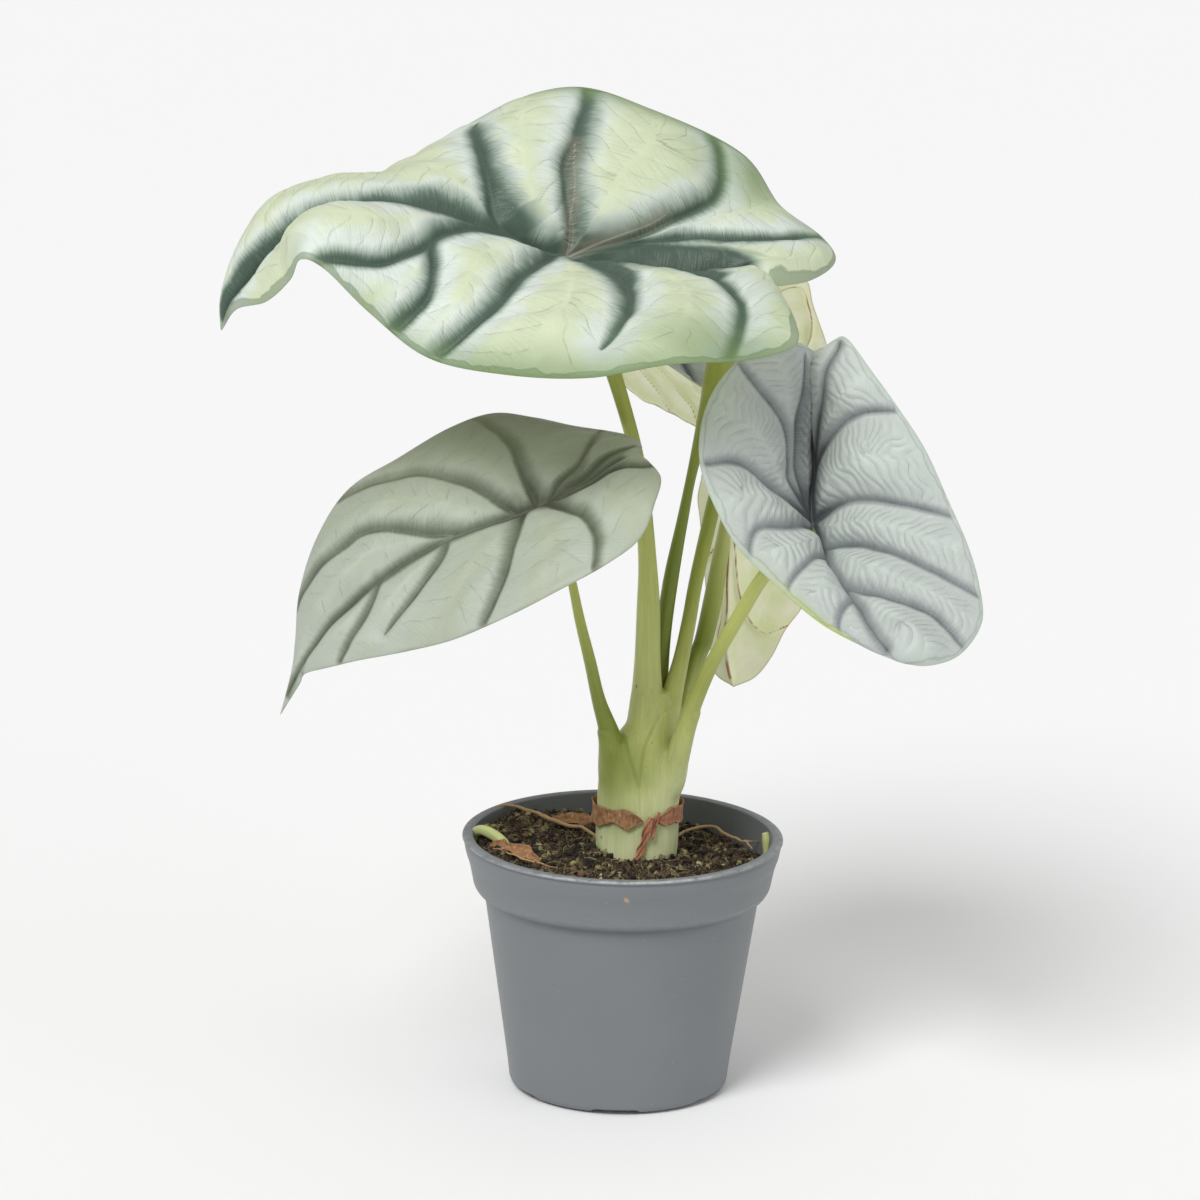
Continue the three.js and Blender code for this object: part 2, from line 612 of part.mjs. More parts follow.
// Wedge that cuts one notch with slanted ends out of the foot ring at the front
function notchCutter() {
  const slant = (NOTCH_BOTTOM_WIDTH - NOTCH_TOP_WIDTH) / 2;
  const half = NOTCH_BOTTOM_WIDTH / 2;
  const outline = new THREE.Shape([
    new THREE.Vector2(-half - slant, -NOTCH_HEIGHT),
    new THREE.Vector2(half + slant, -NOTCH_HEIGHT),
    new THREE.Vector2(NOTCH_TOP_WIDTH / 2, NOTCH_HEIGHT),
    new THREE.Vector2(-NOTCH_TOP_WIDTH / 2, NOTCH_HEIGHT),
  ]);
  const wedge = new THREE.ExtrudeGeometry(outline, { depth: NOTCH_REACH, bevelEnabled: false });
  return wedge.rotateX(Math.PI / 2).translate(0, NOTCH_REACH / 2 - POT_FOOT_RADIUS, 0);
}

function potGeometry() {
  let pot = toSolid(turned(potProfile(), 48));
  for (let k = 0; k < DRAIN_HOLES; k++) {
    const angle = (k / DRAIN_HOLES) * 2 * Math.PI;
    const drill = new THREE.CylinderGeometry(DRAIN_HOLE_RADIUS, DRAIN_HOLE_RADIUS, 20, 12);
    drill.rotateX(Math.PI / 2).translate(DRAIN_CIRCLE * Math.cos(angle), DRAIN_CIRCLE * Math.sin(angle), 0);
    pot = pot.subtract(toSolid(drill));
  }
  for (let k = 0; k < FOOT_NOTCHES; k++) {
    const angle = (k / FOOT_NOTCHES) * 2 * Math.PI + FOOT_TURN;
    pot = pot.subtract(toSolid(notchCutter().rotateZ(angle)));
  }
  return fromSolid(pot);
}

// Height of the soil: heaped to the left and round the crown, sunk to the right, with clods
function soilHeight(x, y) {
  const clods = Math.sin(x * 0.31 + 1.2) * Math.cos(y * 0.27) + 0.7 * Math.sin(x * 0.12 - y * 0.38 + 2);
  const heap = 3.5 * Math.exp(-((x - 5) ** 2 + y * y) / 500);
  return SOIL_LEVEL - 0.075 * x - 0.02 * y + heap + 0.8 * clods;
}

function soilGeometry() {
  const sides = 36;
  const ringCount = 7;
  const ring = (radius, heightAt) => Array.from({ length: sides }, (unused, k) => {
    const angle = (k / sides) * 2 * Math.PI;
    const x = radius * Math.cos(angle);
    const y = radius * Math.sin(angle);
    return [x, y, heightAt(x, y)];
  });
  const level = (z) => ring((innerWall(z) - FIT_GAP) * 0.995, () => z);
  const rings = [
    ring(BODY_CORNER_RADIUS - POT_WALL - 3.4, () => BASE_TOP + FIT_GAP),
    level(BODY_CORNER),
    level(BODY_TOP),
    level(BAND_BOTTOM + 1),
  ];
  const top = (innerWall(SOIL_LEVEL - 4) - FIT_GAP) * 0.995;
  for (let k = ringCount; k > 0; k--) {
    rings.push(ring((top * k) / ringCount, soilHeight));
  }
  return loft(rings);
}

// Assembly

const LEAVES = [
  { name: "top", blade: TOP_BLADE, stalk: TOP_STALK, across: 8, sides: 12, colour: COLOURS.silverGreen },
  { name: "left", blade: LEFT_BLADE, stalk: LEFT_STALK, across: 6, sides: 10, colour: COLOURS.dullGreen },
  { name: "right", blade: RIGHT_BLADE, stalk: RIGHT_STALK, across: 7, sides: 10, colour: COLOURS.silverGrey },
  {
    name: "back_high", blade: BACK_HIGH_BLADE, stalk: BACK_HIGH_STALK, across: 4, sides: 10,
    colour: COLOURS.silverGrey,
  },
  {
    name: "back_left", blade: BACK_LEFT_BLADE, stalk: BACK_LEFT_STALK, across: 4, sides: 10,
    colour: COLOURS.silverGrey,
  },
  {
    name: "back_low", blade: BACK_LOW_BLADE, stalk: BACK_LOW_STALK, across: 4, sides: 10,
    colour: COLOURS.silverGrey,
  },
];

const group = new THREE.Group();
group.add(piece("pot", potGeometry(), COLOURS.pot, 0.5));

const crownClearance = toSolid(crownGeometry(FIT_GAP));
group.add(piece("crown", crownGeometry(0), COLOURS.crown, 0.5));
group.add(piece("soil", fromSolid(toSolid(soilGeometry()).subtract(crownClearance)), COLOURS.soil, 0.95));
group.add(piece("dry_sheath", sheathGeometry(), COLOURS.drySheath, 0.85));

let taken = crownClearance;
for (const leaf of LEAVES) {
  const rows = bladeSheet(leaf.blade, leaf.across);
  const clearance = toSolid(bladeGeometry(rows, BLADE_THICKNESS + 2 * FIT_GAP));
  const stalk = toSolid(stalkGeometry(leaf.stalk, leaf.sides));
  const cut = largestPiece(largestPiece(stalk.subtract(taken)).subtract(clearance));
  const grown = leaf.stalk.map(([x, y, z, radius]) => [x, y, z, radius + FIT_GAP]);
  taken = taken.add(toSolid(stalkGeometry(grown, leaf.sides)));
  group.add(piece(`blade_${leaf.name}`, bladeGeometry(rows, BLADE_THICKNESS), leaf.colour, 0.55));
  group.add(piece(`stalk_${leaf.name}`, fromSolid(cut), COLOURS.stalk, 0.5));
}

export default group;
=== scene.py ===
"""Potted silver dragon alocasia: the fine surfaces and finishes of the plant, its soil and its pot.

Lists of points are in millimetres. They become metres where a mesh is made.
"""

import math

import bmesh
import bpy
import numpy as np
from bpy.props import FloatProperty, FloatVectorProperty, IntProperty, PointerProperty
from mathutils import Matrix, Vector


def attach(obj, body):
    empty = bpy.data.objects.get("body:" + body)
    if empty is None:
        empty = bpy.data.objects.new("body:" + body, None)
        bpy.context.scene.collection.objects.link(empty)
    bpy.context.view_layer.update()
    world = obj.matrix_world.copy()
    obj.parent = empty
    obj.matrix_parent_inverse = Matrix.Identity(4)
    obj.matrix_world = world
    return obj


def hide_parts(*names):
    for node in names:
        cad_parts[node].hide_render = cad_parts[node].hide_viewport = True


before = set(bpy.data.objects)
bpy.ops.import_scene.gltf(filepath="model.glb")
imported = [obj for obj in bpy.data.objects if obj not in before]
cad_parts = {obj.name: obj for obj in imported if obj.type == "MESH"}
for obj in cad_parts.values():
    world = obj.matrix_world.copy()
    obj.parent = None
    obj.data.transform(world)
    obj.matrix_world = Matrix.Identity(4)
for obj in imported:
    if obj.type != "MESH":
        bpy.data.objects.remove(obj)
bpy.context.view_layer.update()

bl_info = {
    "name": "Potted Silver Dragon Alocasia",
    "version": (1, 0, 0),
    "blender": (4, 5, 0),
    "location": "View3D > Sidebar > Alocasia",
    "description": "Builds the leaves, stalks, crown, soil and nursery pot of a silver dragon alocasia",
    "category": "Add Mesh",
}

MM = 0.001

# Blades: where the stalk meets the blade, then ribs from the notch to the tip. A rib is the point on the
# first edge, on the midrib and on the second edge, in mm from the place where the stalk meets the blade.
# A vein is a list of (rib number, share of the way to the edge), with the first edge negative.

TOP_BLADE = {
    "hub": (-25, -20, 321),
    "arch": 6,
    "quilt": 5,
    "ribs": [
        ((76, 5, -10), (76, 5, -10), (76, 5, -10)),
        ((90, 18, -10), (59, 4, -9), (79, -20, -12)),
        ((99, 33, -6), (45, 2, -7), (83, -42, -13)),
        ((94, 47, 0), (28, 1, -4), (82, -53, -19)),
        ((79, 57, 9), (12, 0, -2), (64, -64, -22)),
        ((64, 56, 29), (0, 0, 0), (38, -72, -22)),
        ((31, 59, 44), (-10, -1, 3), (9, -74, -27)),
        ((0, 59, 52), (-21, -3, 8), (-21, -71, -27)),
        ((-33, 56, 40), (-35, -6, 14), (-48, -60, -24)),
        ((-54, 48, 23), (-50, -10, 20), (-69, -52, -10)),
        ((-68, 36, 13), (-65, -14, 22), (-85, -50, 5)),
        ((-85, 21, 17), (-81, -17, 19), (-94, -47, 8)),
        ((-108, 8, 14), (-95, -18, 10), (-98, -40, -1)),
        ((-119, -2, 0), (-109, -18, -3), (-107, -32, -11)),
        ((-124, -10, -15), (-119, -17, -14), (-118, -23, -16)),
        ((-124, -14, -26), (-124, -14, -26), (-124, -14, -26)),
    ],
    "veins": [
        [(5.0, 0), (6.4, -0.35), (6.6, -0.6), (6.7, -0.85), (6.8, -1)],
        [(6.7, 0), (7.4, -0.05), (7.7, -0.25), (8.0, -0.75), (8.0, -0.9)],
        [(5.0, 0), (4.4, -0.2), (4.5, -0.45), (4.6, -0.7), (5.1, -0.9)],
        [(5.1, 0), (3.7, -0.3), (3.0, -0.5), (2.8, -0.65), (2.9, -0.9)],
        [(5.2, 0), (3.0, 0.05), (2.5, 0.3), (2.7, 0.55), (3.7, 0.85)],
        [(5.1, 0), (4.6, 0.25), (4.8, 0.5), (5.2, 0.7), (5.7, 0.85)],
        [(5.5, 0), (6.7, 0.35), (7.1, 0.6), (7.7, 0.9)],
        [(7.2, 0), (8.1, 0.1), (8.6, 0.3), (8.4, 0.5), (8.3, 0.7), (8.5, 0.92)],
        [(8.6, 0.3), (8.8, 0.45), (9.3, 0.7), (10.1, 0.94)],
    ],
}

LEFT_BLADE = {
    "hub": (-32, -38, 233),
    "arch": 4,
    "quilt": 2.4,
    "ribs": [
        ((35, 4, 19), (35, 4, 19), (35, 4, 19)),
        ((36, 12, 20), (29, 3, 16), (39, -5, 18)),
        ((33, 21, 21), (21, 2, 12), (43, -12, 14)),
        ((24, 30, 21), (14, 1, 7), (41, -23, 8)),
        ((11, 37, 21), (6, 0, 4), (36, -32, -3)),
        ((-4, 41, 23), (0, 0, 0), (24, -40, -11)),
        ((-19, 38, 25), (-9, -1, -4), (7, -44, -20)),
        ((-35, 34, 20), (-18, -2, -7), (-10, -42, -30)),
        ((-53, 28, 10), (-30, -4, -11), (-30, -36, -41)),
        ((-71, 19, 0), (-42, -6, -17), (-48, -29, -48)),
        ((-82, 10, -16), (-55, -9, -25), (-65, -24, -53)),
        ((-88, 3, -35), (-69, -11, -37), (-76, -20, -57)),
        ((-89, -5, -51), (-80, -12, -50), (-85, -15, -61)),
        ((-90, -11, -61), (-88, -13, -63), (-87, -15, -65)),
        ((-94, -10, -78), (-94, -10, -78), (-94, -10, -78)),
    ],
    "veins": [
        [(6.0, 0), (6.7, -0.2), (7.5, -0.5), (8.0, -0.7), (8.9, -0.9)],
        [(8.0, 0), (8.7, -0.15), (9.5, -0.5), (10.0, -0.6), (10.9, -0.85)],
        [(5.2, 0), (5.6, -0.35), (5.8, -0.6), (6.3, -0.9)],
        [(4.9, 0), (4.1, -0.1), (3.3, -0.35), (3.2, -0.9)],
        [(4.5, 0), (3.0, -0.1), (2.0, -0.3), (1.2, -0.7)],
        [(4.8, 0), (3.4, 0.15), (2.2, 0.25), (1.6, 0.7)],
        [(4.9, 0), (4.5, 0.4), (4.7, 0.7), (5.2, 0.95)],
        [(5.7, 0), (6.4, 0.35), (6.7, 0.55), (7.4, 0.95)],
        [(8.3, 0), (8.4, 0.2), (9.0, 0.55), (9.5, 0.8)],
        [(10.2, 0), (10.1, 0.4), (10.5, 0.9)],
    ],
}

RIGHT_BLADE = {
    "hub": (67, -34, 225),
    "arch": 5,
    "quilt": 4,
    "ribs": [
        ((-1, 20, 62), (-1, 20, 62), (-1, 20, 62)),
        ((-6, 15, 66), (-1, 17, 51), (5, 15, 66)),
        ((-15, 9, 69), (-1, 14, 41), (10, 8, 70)),
        ((-27, 1, 64), (-1, 11, 30), (19, 1, 60)),
        ((-37, -7, 54), (0, 8, 20), (28, -5, 49)),
        ((-42, -16, 42), (-1, 4, 10), (39, -12, 34)),
        ((-42, -24, 29), (0, 0, 0), (48, -18, 16)),
        ((-37, -29, 16), (4, -9, -5), (55, -27, 2)),
        ((-28, -32, 1), (6, -20, -10), (59, -36, -10)),
        ((-14, -36, -12), (12, -32, -15), (60, -44, -22)),
        ((2, -42, -24), (18, -44, -21), (52, -52, -32)),
        ((17, -50, -30), (23, -54, -27), (40, -57, -35)),
        ((30, -56, -34), (30, -56, -34), (30, -56, -34)),
    ],
    "veins": [
        [(5.7, 0), (4.6, -0.2), (3.2, -0.3), (2.1, -0.4), (1.2, -0.75)],
        [(5.6, 0), (3.6, 0.05), (2.8, 0.25), (2.2, 0.6), (2.0, 0.9)],
        [(5.6, 0), (5.1, -0.25), (4.5, -0.3), (3.6, -0.45), (3.3, -0.85)],
        [(5.8, 0), (5.7, -0.45), (5.5, -0.7), (5.9, -0.95)],
        [(6.3, 0), (7.1, -0.4), (7.4, -0.7), (8.0, -0.9)],
        [(5.7, 0), (4.0, 0.05), (3.6, 0.45), (3.7, 0.7), (4.1, 0.95)],
        [(5.8, 0), (5.5, 0.25), (5.6, 0.5), (6.2, 0.9)],
        [(7.0, 0), (7.2, 0.3), (7.6, 0.55), (8.2, 0.9)],
        [(8.9, 0), (9.2, 0.3), (9.3, 0.6), (9.7, 0.9)],
        [(7.5, 0), (8.4, -0.4), (9.1, -0.9)],
        [(9.4, 0), (9.9, -0.45), (10.3, -0.8)],
    ],
}

BACK_LEFT_BLADE = {
    "hub": (37, 42, 243),
    "arch": 2,
    "quilt": 2.6,
    "ribs": [
        ((11, -20, 6), (11, -20, 6), (11, -20, 6)),
        ((15, -7, 6), (8, -14, 4), (14, -23, 4)),
        ((16, 5, 8), (5, -9, 2), (14, -27, 6)),
        ((14, 18, 11), (3, -4, 1), (7, -28, 12)),
        ((8, 28, 15), (0, 0, 0), (0, -27, 18)),
        ((-1, 36, 19), (-6, 6, -1), (-10, -21, 21)),
        ((-11, 44, 23), (-13, 13, 0), (-21, -12, 26)),
        ((-23, 49, 27), (-21, 20, 3), (-31, -2, 30)),
        ((-34, 51, 29), (-31, 28, 6), (-40, 11, 30)),
        ((-44, 49, 29), (-40, 35, 11), (-48, 25, 29)),
        ((-52, 46, 25), (-48, 41, 17), (-52, 37, 26)),
        ((-56, 46, 22), (-56, 46, 22), (-56, 46, 22)),
    ],
    "veins": [
        [(start, 0), (middle, half * side), (end, full * side)]
        for start, middle, half, end, full in (
            (4.0, 3.0, 0.4, 2.4, 0.9), (4.2, 4.6, 0.5, 5.4, 0.95), (5.6, 6.2, 0.45, 7.2, 0.9),
            (7.0, 7.8, 0.45, 8.8, 0.9),
        )
        for side in (1, -1)
    ],
}

BACK_LOW_BLADE = {
    "hub": (37, 36, 215),
    "arch": 4,
    "quilt": 2.4,
    "ribs": [
        ((-1, 1, 11), (-1, 1, 11), (-1, 1, 11)),
        ((4, 7, 14), (-1, 1, 9), (-5, 7, 14)),
        ((12, 9, 13), (-1, 0, 7), (-9, 12, 12)),
        ((22, 10, 9), (0, 0, 3), (-10, 17, 6)),
        ((30, 10, 3), (0, 0, 0), (-11, 21, -2)),
        ((33, 9, -8), (0, 0, -5), (-10, 22, -10)),
        ((35, 9, -19), (1, 1, -11), (-9, 24, -19)),
        ((33, 10, -31), (1, 3, -21), (-8, 26, -29)),
        ((29, 9, -41), (1, 4, -31), (-7, 25, -39)),
        ((23, 6, -49), (1, 4, -41), (-6, 22, -49)),
        ((18, 4, -59), (1, 4, -53), (-5, 15, -59)),
        ((12, 4, -67), (2, 4, -64), (-3, 8, -67)),
        ((4, 4, -71), (4, 4, -71), (4, 4, -71)),
    ],
    "veins": [
        [(4.2, 0), (6.0, 0.1), (8.5, 0.3), (10.0, 0.6)],
        [(4.4, 0), (6.2, -0.05), (8.1, -0.15), (9.1, -0.4), (9.3, -0.75), (8.8, -1)],
        [(4.0, 0), (2.9, -0.5), (2.6, -0.9)],
        [(4.0, 0), (3.9, -0.5), (4.2, -0.95)],
        [(4.0, 0), (2.9, 0.5), (2.4, 0.9)],
        [(4.6, 0), (6.0, -0.35), (6.3, -0.9)],
        [(5.0, 0), (6.3, 0.6), (6.9, 0.95)],
    ],
}

BACK_HIGH_BLADE = {
    "hub": (44, 30, 289),
    "arch": 3,
    "quilt": 2.6,
    "ribs": [
        ((-1, -9, 12), (-1, -9, 12), (-1, -9, 12)),
        ((3, -7, 17), (-1, -7, 9), (-6, -7, 15)),
        ((11, -3, 18), (-1, -5, 6), (-11, -3, 13)),
        ((17, 2, 17), (-1, -3, 3), (-15, 1, 7)),
        ((21, 8, 12), (0, 0, 0), (-15, 6, 0)),
        ((23, 14, 3), (2, 5, -5), (-12, 11, -8)),
        ((26, 20, -6), (6, 11, -10), (-8, 16, -14)),
        ((29, 24, -15), (10, 17, -16), (-4, 20, -21)),
        ((30, 26, -23), (14, 23, -23), (2, 23, -27)),
        ((29, 27, -30), (18, 28, -29), (8, 26, -32)),
        ((26, 29, -36), (22, 32, -35), (15, 29, -36)),
        ((25, 35, -41), (25, 35, -41), (25, 35, -41)),
    ],
    "veins": [
        [(4.0, 0), (3.5, -0.6), (3.9, -0.85), (4.9, -0.92), (6.0, -0.85), (7.3, -0.55)],
        [(4.0, 0), (2.6, -0.4), (2.2, -0.9)],
        [(4.0, 0), (2.8, 0.6), (2.4, 0.9)],
        [(4.4, 0), (5.2, 0.6), (6.0, 0.95)],
        [(5.2, 0), (6.9, -0.35), (8.2, -0.85)],
        [(6.0, 0), (6.9, 0.6), (7.8, 0.95)],
        [(7.2, 0), (8.2, 0.45), (9.0, 0.9)],
    ],
}

# Stalks: points along the middle as x, y and z, then the radius there. The first point is inside the
# crown and the last is where the stalk meets its blade.

TOP_STALK = [
    (6.2, 0, 128, 7.0), (7.8, 0, 146, 6.3), (7.9, 0, 164, 4.9), (7.8, 0, 185, 4.3), (7.1, 0, 203, 3.4),
    (4.8, -2, 228, 2.9), (1.8, -4.5, 246, 2.6), (-3, -8, 264, 2.7), (-8.6, -11.5, 282, 3.0),
    (-12.8, -14, 294, 3.2), (-24, -20, 320, 3.2),
]
LEFT_STALK = [
    (-2.2, -3, 120, 6.0), (-4.9, -8, 136, 4.1), (-9.9, -14, 153, 2.6), (-13.5, -20.5, 170, 2.2),
    (-17.4, -27, 187, 1.9), (-21, -33, 205, 1.6), (-24.5, -36, 216, 1.6), (-31, -37, 232, 1.6),
]
RIGHT_STALK = [
    (17, -6, 118, 4.2), (19.5, -10, 131, 3.9), (23, -13, 146, 3.4), (31, -18, 168, 2.7),
    (42, -24, 191, 2.6), (50, -28, 206, 2.6), (58.5, -31, 215, 2.6), (69, -34, 226, 2.5),
]
BACK_HIGH_STALK = [
    (11.5, 5, 131, 4.0), (12.6, 8, 151, 3.1), (13.6, 9, 172, 2.9), (16, 9.5, 193.5, 2.8),
    (19.8, 10, 216, 2.1), (23.3, 10, 236, 1.9), (28.7, 10.5, 260, 3.5), (31.1, 13, 269, 4.8),
    (33.9, 17, 277, 4.8), (40, 22, 283, 4.0), (43, 29, 288, 3.0),
]
BACK_LEFT_STALK = [
    (14, -1, 132.5, 4.6), (17, 2, 149, 4.0), (20.4, 5, 164, 3.0), (23.1, 9, 178, 2.7),
    (25.5, 13, 192.6, 2.6), (30.2, 20, 214, 2.7), (32.6, 25, 224, 2.5), (36, 33, 233, 2.3),
    (37, 41, 242, 2.3),
]
BACK_LOW_STALK = [
    (21, 4, 131, 3.7), (21.6, 6, 140, 3.6), (25.7, 13, 160, 3.4), (28.9, 16, 169, 3.4),
    (32, 21, 183, 3.5), (34.4, 27.5, 197, 3.0), (37, 35, 214, 2.0),
]

# Crown: rings from the buried foot to the top as middle x and y, half widths x and y, and height

CROWN_RINGS = [
    (5.2, 0, 12, 10, 78), (5.2, 0, 15, 12.5, 88), (5.3, 0, 15.7, 13, 98), (5.4, 0, 15.3, 12.8, 112),
    (5.6, 0, 14.2, 11.6, 124), (7.0, 0, 12.2, 10.2, 133), (10, 0.5, 8.8, 8.2, 142),
    (10, 1, 8.0, 7.2, 149), (10, 1, 6.0, 5.4, 153),
]
SHEATH_BOTTOM = 102.5
SHEATH_TOP = 110.5

# Pot and soil, as radius and height

SOIL_LEVEL = 88.5
BAND_TOP = 94
BAND_TOP_RADIUS = 59.3
BAND_BOTTOM = 78.5
BAND_RADIUS = 55.6
BODY_TOP = 73
BODY_TOP_RADIUS = 51.2
BODY_CORNER = 10
BODY_CORNER_RADIUS = 41.9
MOUTH_FLARE = 2
FOOT_TURN = -0.025
FLECK_PLACE = (1.6, -58.2, 89.5)
DRAIN_HOLES = 8
DRAIN_RING = 23
DRAIN_RADIUS = 3.5
SCATTER_RADIUS = 53

# Camera and stage

VIEW_TARGET = (-10.2, 0, 187.7)
VIEW_DISTANCE = 2500
VIEW_ELEVATION = 15.0
VIEW_ROLL = 1.1
VIEW_LENS = 202.35
FLOOR_HALF = 8.0


# Settings

def colour(red, green, blue):
    """Linear colour with alpha, from red, green and blue as a screen shows them, 0 to 255"""
    def linear(value):
        share = value / 255
        return share / 12.92 if share <= 0.04045 else ((share + 0.055) / 1.055) ** 2.4
    return (linear(red), linear(green), linear(blue), 1.0)


def colour_setting(name, description, screen):
    return FloatVectorProperty(
        name=name, description=description, default=colour(*screen), size=4, min=0, max=1,
        subtype="COLOR",
    )


def length_setting(name, description, millimetres):
    return FloatProperty(
        name=name, description=description, default=millimetres * MM, min=0, precision=5,
        unit="LENGTH",
    )


class PotSettings(bpy.types.PropertyGroup):
    """Sizes and colours of the nursery pot"""

    height: length_setting("Height", "Height of the pot from floor to lip", 97)
    lip_radius: length_setting("Lip radius", "Outer radius of the lip", 60)
    foot_radius: length_setting("Foot radius", "Outer radius of the ring that it stands on", 37)
    wall: length_setting("Wall", "Thickness of the plastic", 1.6)
    plastic: colour_setting("Plastic", "Colour of the grey plastic", (115, 119, 122))
    # The scuff colour is also the painted highlight along the front of the lip
    scuff: colour_setting("Scuffs", "Colour of rubbed places on the lip", (186, 190, 193))
    fleck: colour_setting("Fleck", "Colour of the dried fleck on the rim", (176, 142, 112))


class SoilSettings(bpy.types.PropertyGroup):
    """Grains and colours of the potting soil"""

    crumbs: IntProperty(name="Crumbs", description="Number of loose peat crumbs", default=4700, min=0)
    grit: IntProperty(name="Grit", description="Number of pale perlite grains", default=70, min=0)
    fibres: IntProperty(name="Fibres", description="Number of peat fibres", default=760, min=0)
    # The dark peat is partly the colour of dark crumbs and partly painted shade in the soil's hollows
    dark: colour_setting("Dark peat", "Colour in the hollows of the soil", (44, 34, 26))
    brown: colour_setting("Brown peat", "Colour of most crumbs", (110, 88, 64))
    moss: colour_setting("Moss", "Colour of greenish crumbs", (168, 160, 110))
    pale: colour_setting("Perlite", "Colour of the pale grains", (206, 196, 160))


class StalkSettings(bpy.types.PropertyGroup):
    """Colours of the stalks and the crown"""

    pale: colour_setting("Pale foot", "Colour of the crown's foot", (220, 226, 176))
    fresh: colour_setting("Fresh green", "Colour of the stalks in the middle", (168, 174, 84))
    # The deep green also serves as painted shade on the back high stalk, in the crown's front blushes and
    # along the sheath edges
    deep: colour_setting("Deep green", "Colour of the darkest stalk and of the blush", (104, 120, 24))
    dry: colour_setting("Dry sheath", "Colour of the tan papery sheath", (154, 112, 74))
    rust: colour_setting("Rusty sheath", "Colour of the redder scraps of sheath", (172, 116, 86))


class BladeSettings(bpy.types.PropertyGroup):
    """Relief of the blades and the colours that all blades share"""

    thickness: length_setting("Thickness", "Thickness of a blade", 0.8)
    groove: length_setting("Vein groove", "Depth of the main veins in the upper face", 0.8)
    pucker: length_setting("Pucker", "Depth of the small veins in the upper face", 0.38)
    ridge: length_setting("Vein ridge", "Height of the main veins under the blade", 0.7)
    underside: colour_setting("Underside", "Colour of the underside", (246, 246, 222))
    under_tint: colour_setting("Underside tint", "Greener parts of the underside", (228, 234, 182))
    under_vein: colour_setting("Underside vein", "Colour of the veins under the blade", (156, 96, 74))


class TopBladeColours(bpy.types.PropertyGroup):
    """Colours of the upper face of the largest blade"""

    silver: colour_setting("Silver", "Panels next to the veins", (215, 224, 215))
    heart: colour_setting("Panel heart", "Middle of the panels", (205, 215, 179))
    halo: colour_setting("Halo", "Soft outer part of the bands", (114, 134, 118))
    band: colour_setting("Vein band", "Dark bands along the main veins", (64, 85, 71))
    margin: colour_setting("Margin", "Green strip round the edge", (128, 146, 116))
    # On the second edge this olive is partly painted shade of the curled-under edge
    warm: colour_setting("Warm", "Olive strips along both edges", (106, 134, 78))
    worn: colour_setting("Worn", "Tan tissue beside the crease", (148, 141, 122))


class LeftBladeColours(bpy.types.PropertyGroup):
    """Colours of the upper face of the oldest blade"""

    silver: colour_setting("Silver", "Panels next to the veins", (172, 180, 167))
    heart: colour_setting("Panel heart", "Middle of the panels", (168, 176, 156))
    halo: colour_setting("Halo", "Soft outer part of the bands", (108, 117, 99))
    band: colour_setting("Vein band", "Dark bands along the main veins", (70, 76, 60))
    margin: colour_setting("Margin", "Strip round the edge", (150, 160, 138))
    warm: colour_setting("Warm", "Olive tint of the far part", (110, 119, 94))
    worn: colour_setting("Worn", "Brown marks", (128, 104, 74))


class RightBladeColours(bpy.types.PropertyGroup):
    """Colours of the upper faces of the right blade and the three at the back"""

    silver: colour_setting("Silver", "Panels next to the veins", (182, 189, 185))
    heart: colour_setting("Panel heart", "Middle of the panels", (188, 197, 190))
    halo: colour_setting("Halo", "Soft outer part of the bands", (138, 145, 145))
    band: colour_setting("Vein band", "Dark bands along the main veins", (84, 88, 89))
    margin: colour_setting("Margin", "Strip round the edge", (184, 196, 184))
    warm: colour_setting("Warm", "Yellow-green part of the lower edge", (190, 206, 84))
    worn: colour_setting("Worn", "Brown marks", (132, 98, 72))


# Curves

def through(points, t):
    """Smooth curve through the points, one point for each whole number of t"""
    points = np.asarray(points, float)
    t = np.asarray(t, float)
    last = len(points) - 1
    i = np.minimum(np.floor(t).astype(int), last - 1)
    w = (t - i)[..., None]
    longer = np.vstack([2 * points[0] - points[1], points, 2 * points[-1] - points[-2]])
    p0, p1, p2, p3 = (longer[i + k] for k in range(4))
    square = (2 * p0 - 5 * p1 + 4 * p2 - p3) * w ** 2
    cube = (3 * p1 - p0 - 3 * p2 + p3) * w ** 3
    return 0.5 * (2 * p1 + (p2 - p0) * w + square + cube)


def sampled(route, count):
    """Evenly numbered samples of the smooth curve through a route"""
    return through(route, np.linspace(0, len(route) - 1, count))


def full_turn(sides):
    """Angles all the way round, one for each side"""
    return np.linspace(0, 2 * math.pi, sides, endpoint=False)


def unit(vectors):
    return vectors / np.maximum(np.linalg.norm(vectors, axis=-1, keepdims=True), 1e-9)


def arc_lengths(points):
    """Distance along a line of points, at each point"""
    steps = np.linalg.norm(np.diff(points, axis=0), axis=1)
    return np.concatenate([[0], np.cumsum(steps)])


def waves(points, wavelength, seed):
    """Soft random relief of about -1 to 1, from sine waves in seeded directions"""
    draw = np.random.default_rng(seed)
    count = 7
    directions = unit(draw.normal(size=(count, 3))) / (wavelength * draw.uniform(0.7, 1.5, (count, 1)))
    turns = np.asarray(points) @ directions.T + draw.uniform(0, 1, count)
    return np.sin(2 * math.pi * turns).sum(-1) / math.sqrt(count)


def smooth(value, low, high):
    """0 below low, 1 above high and a soft step between"""
    share = np.clip((value - low) / (high - low), 0, 1)
    return share * share * (3 - 2 * share)


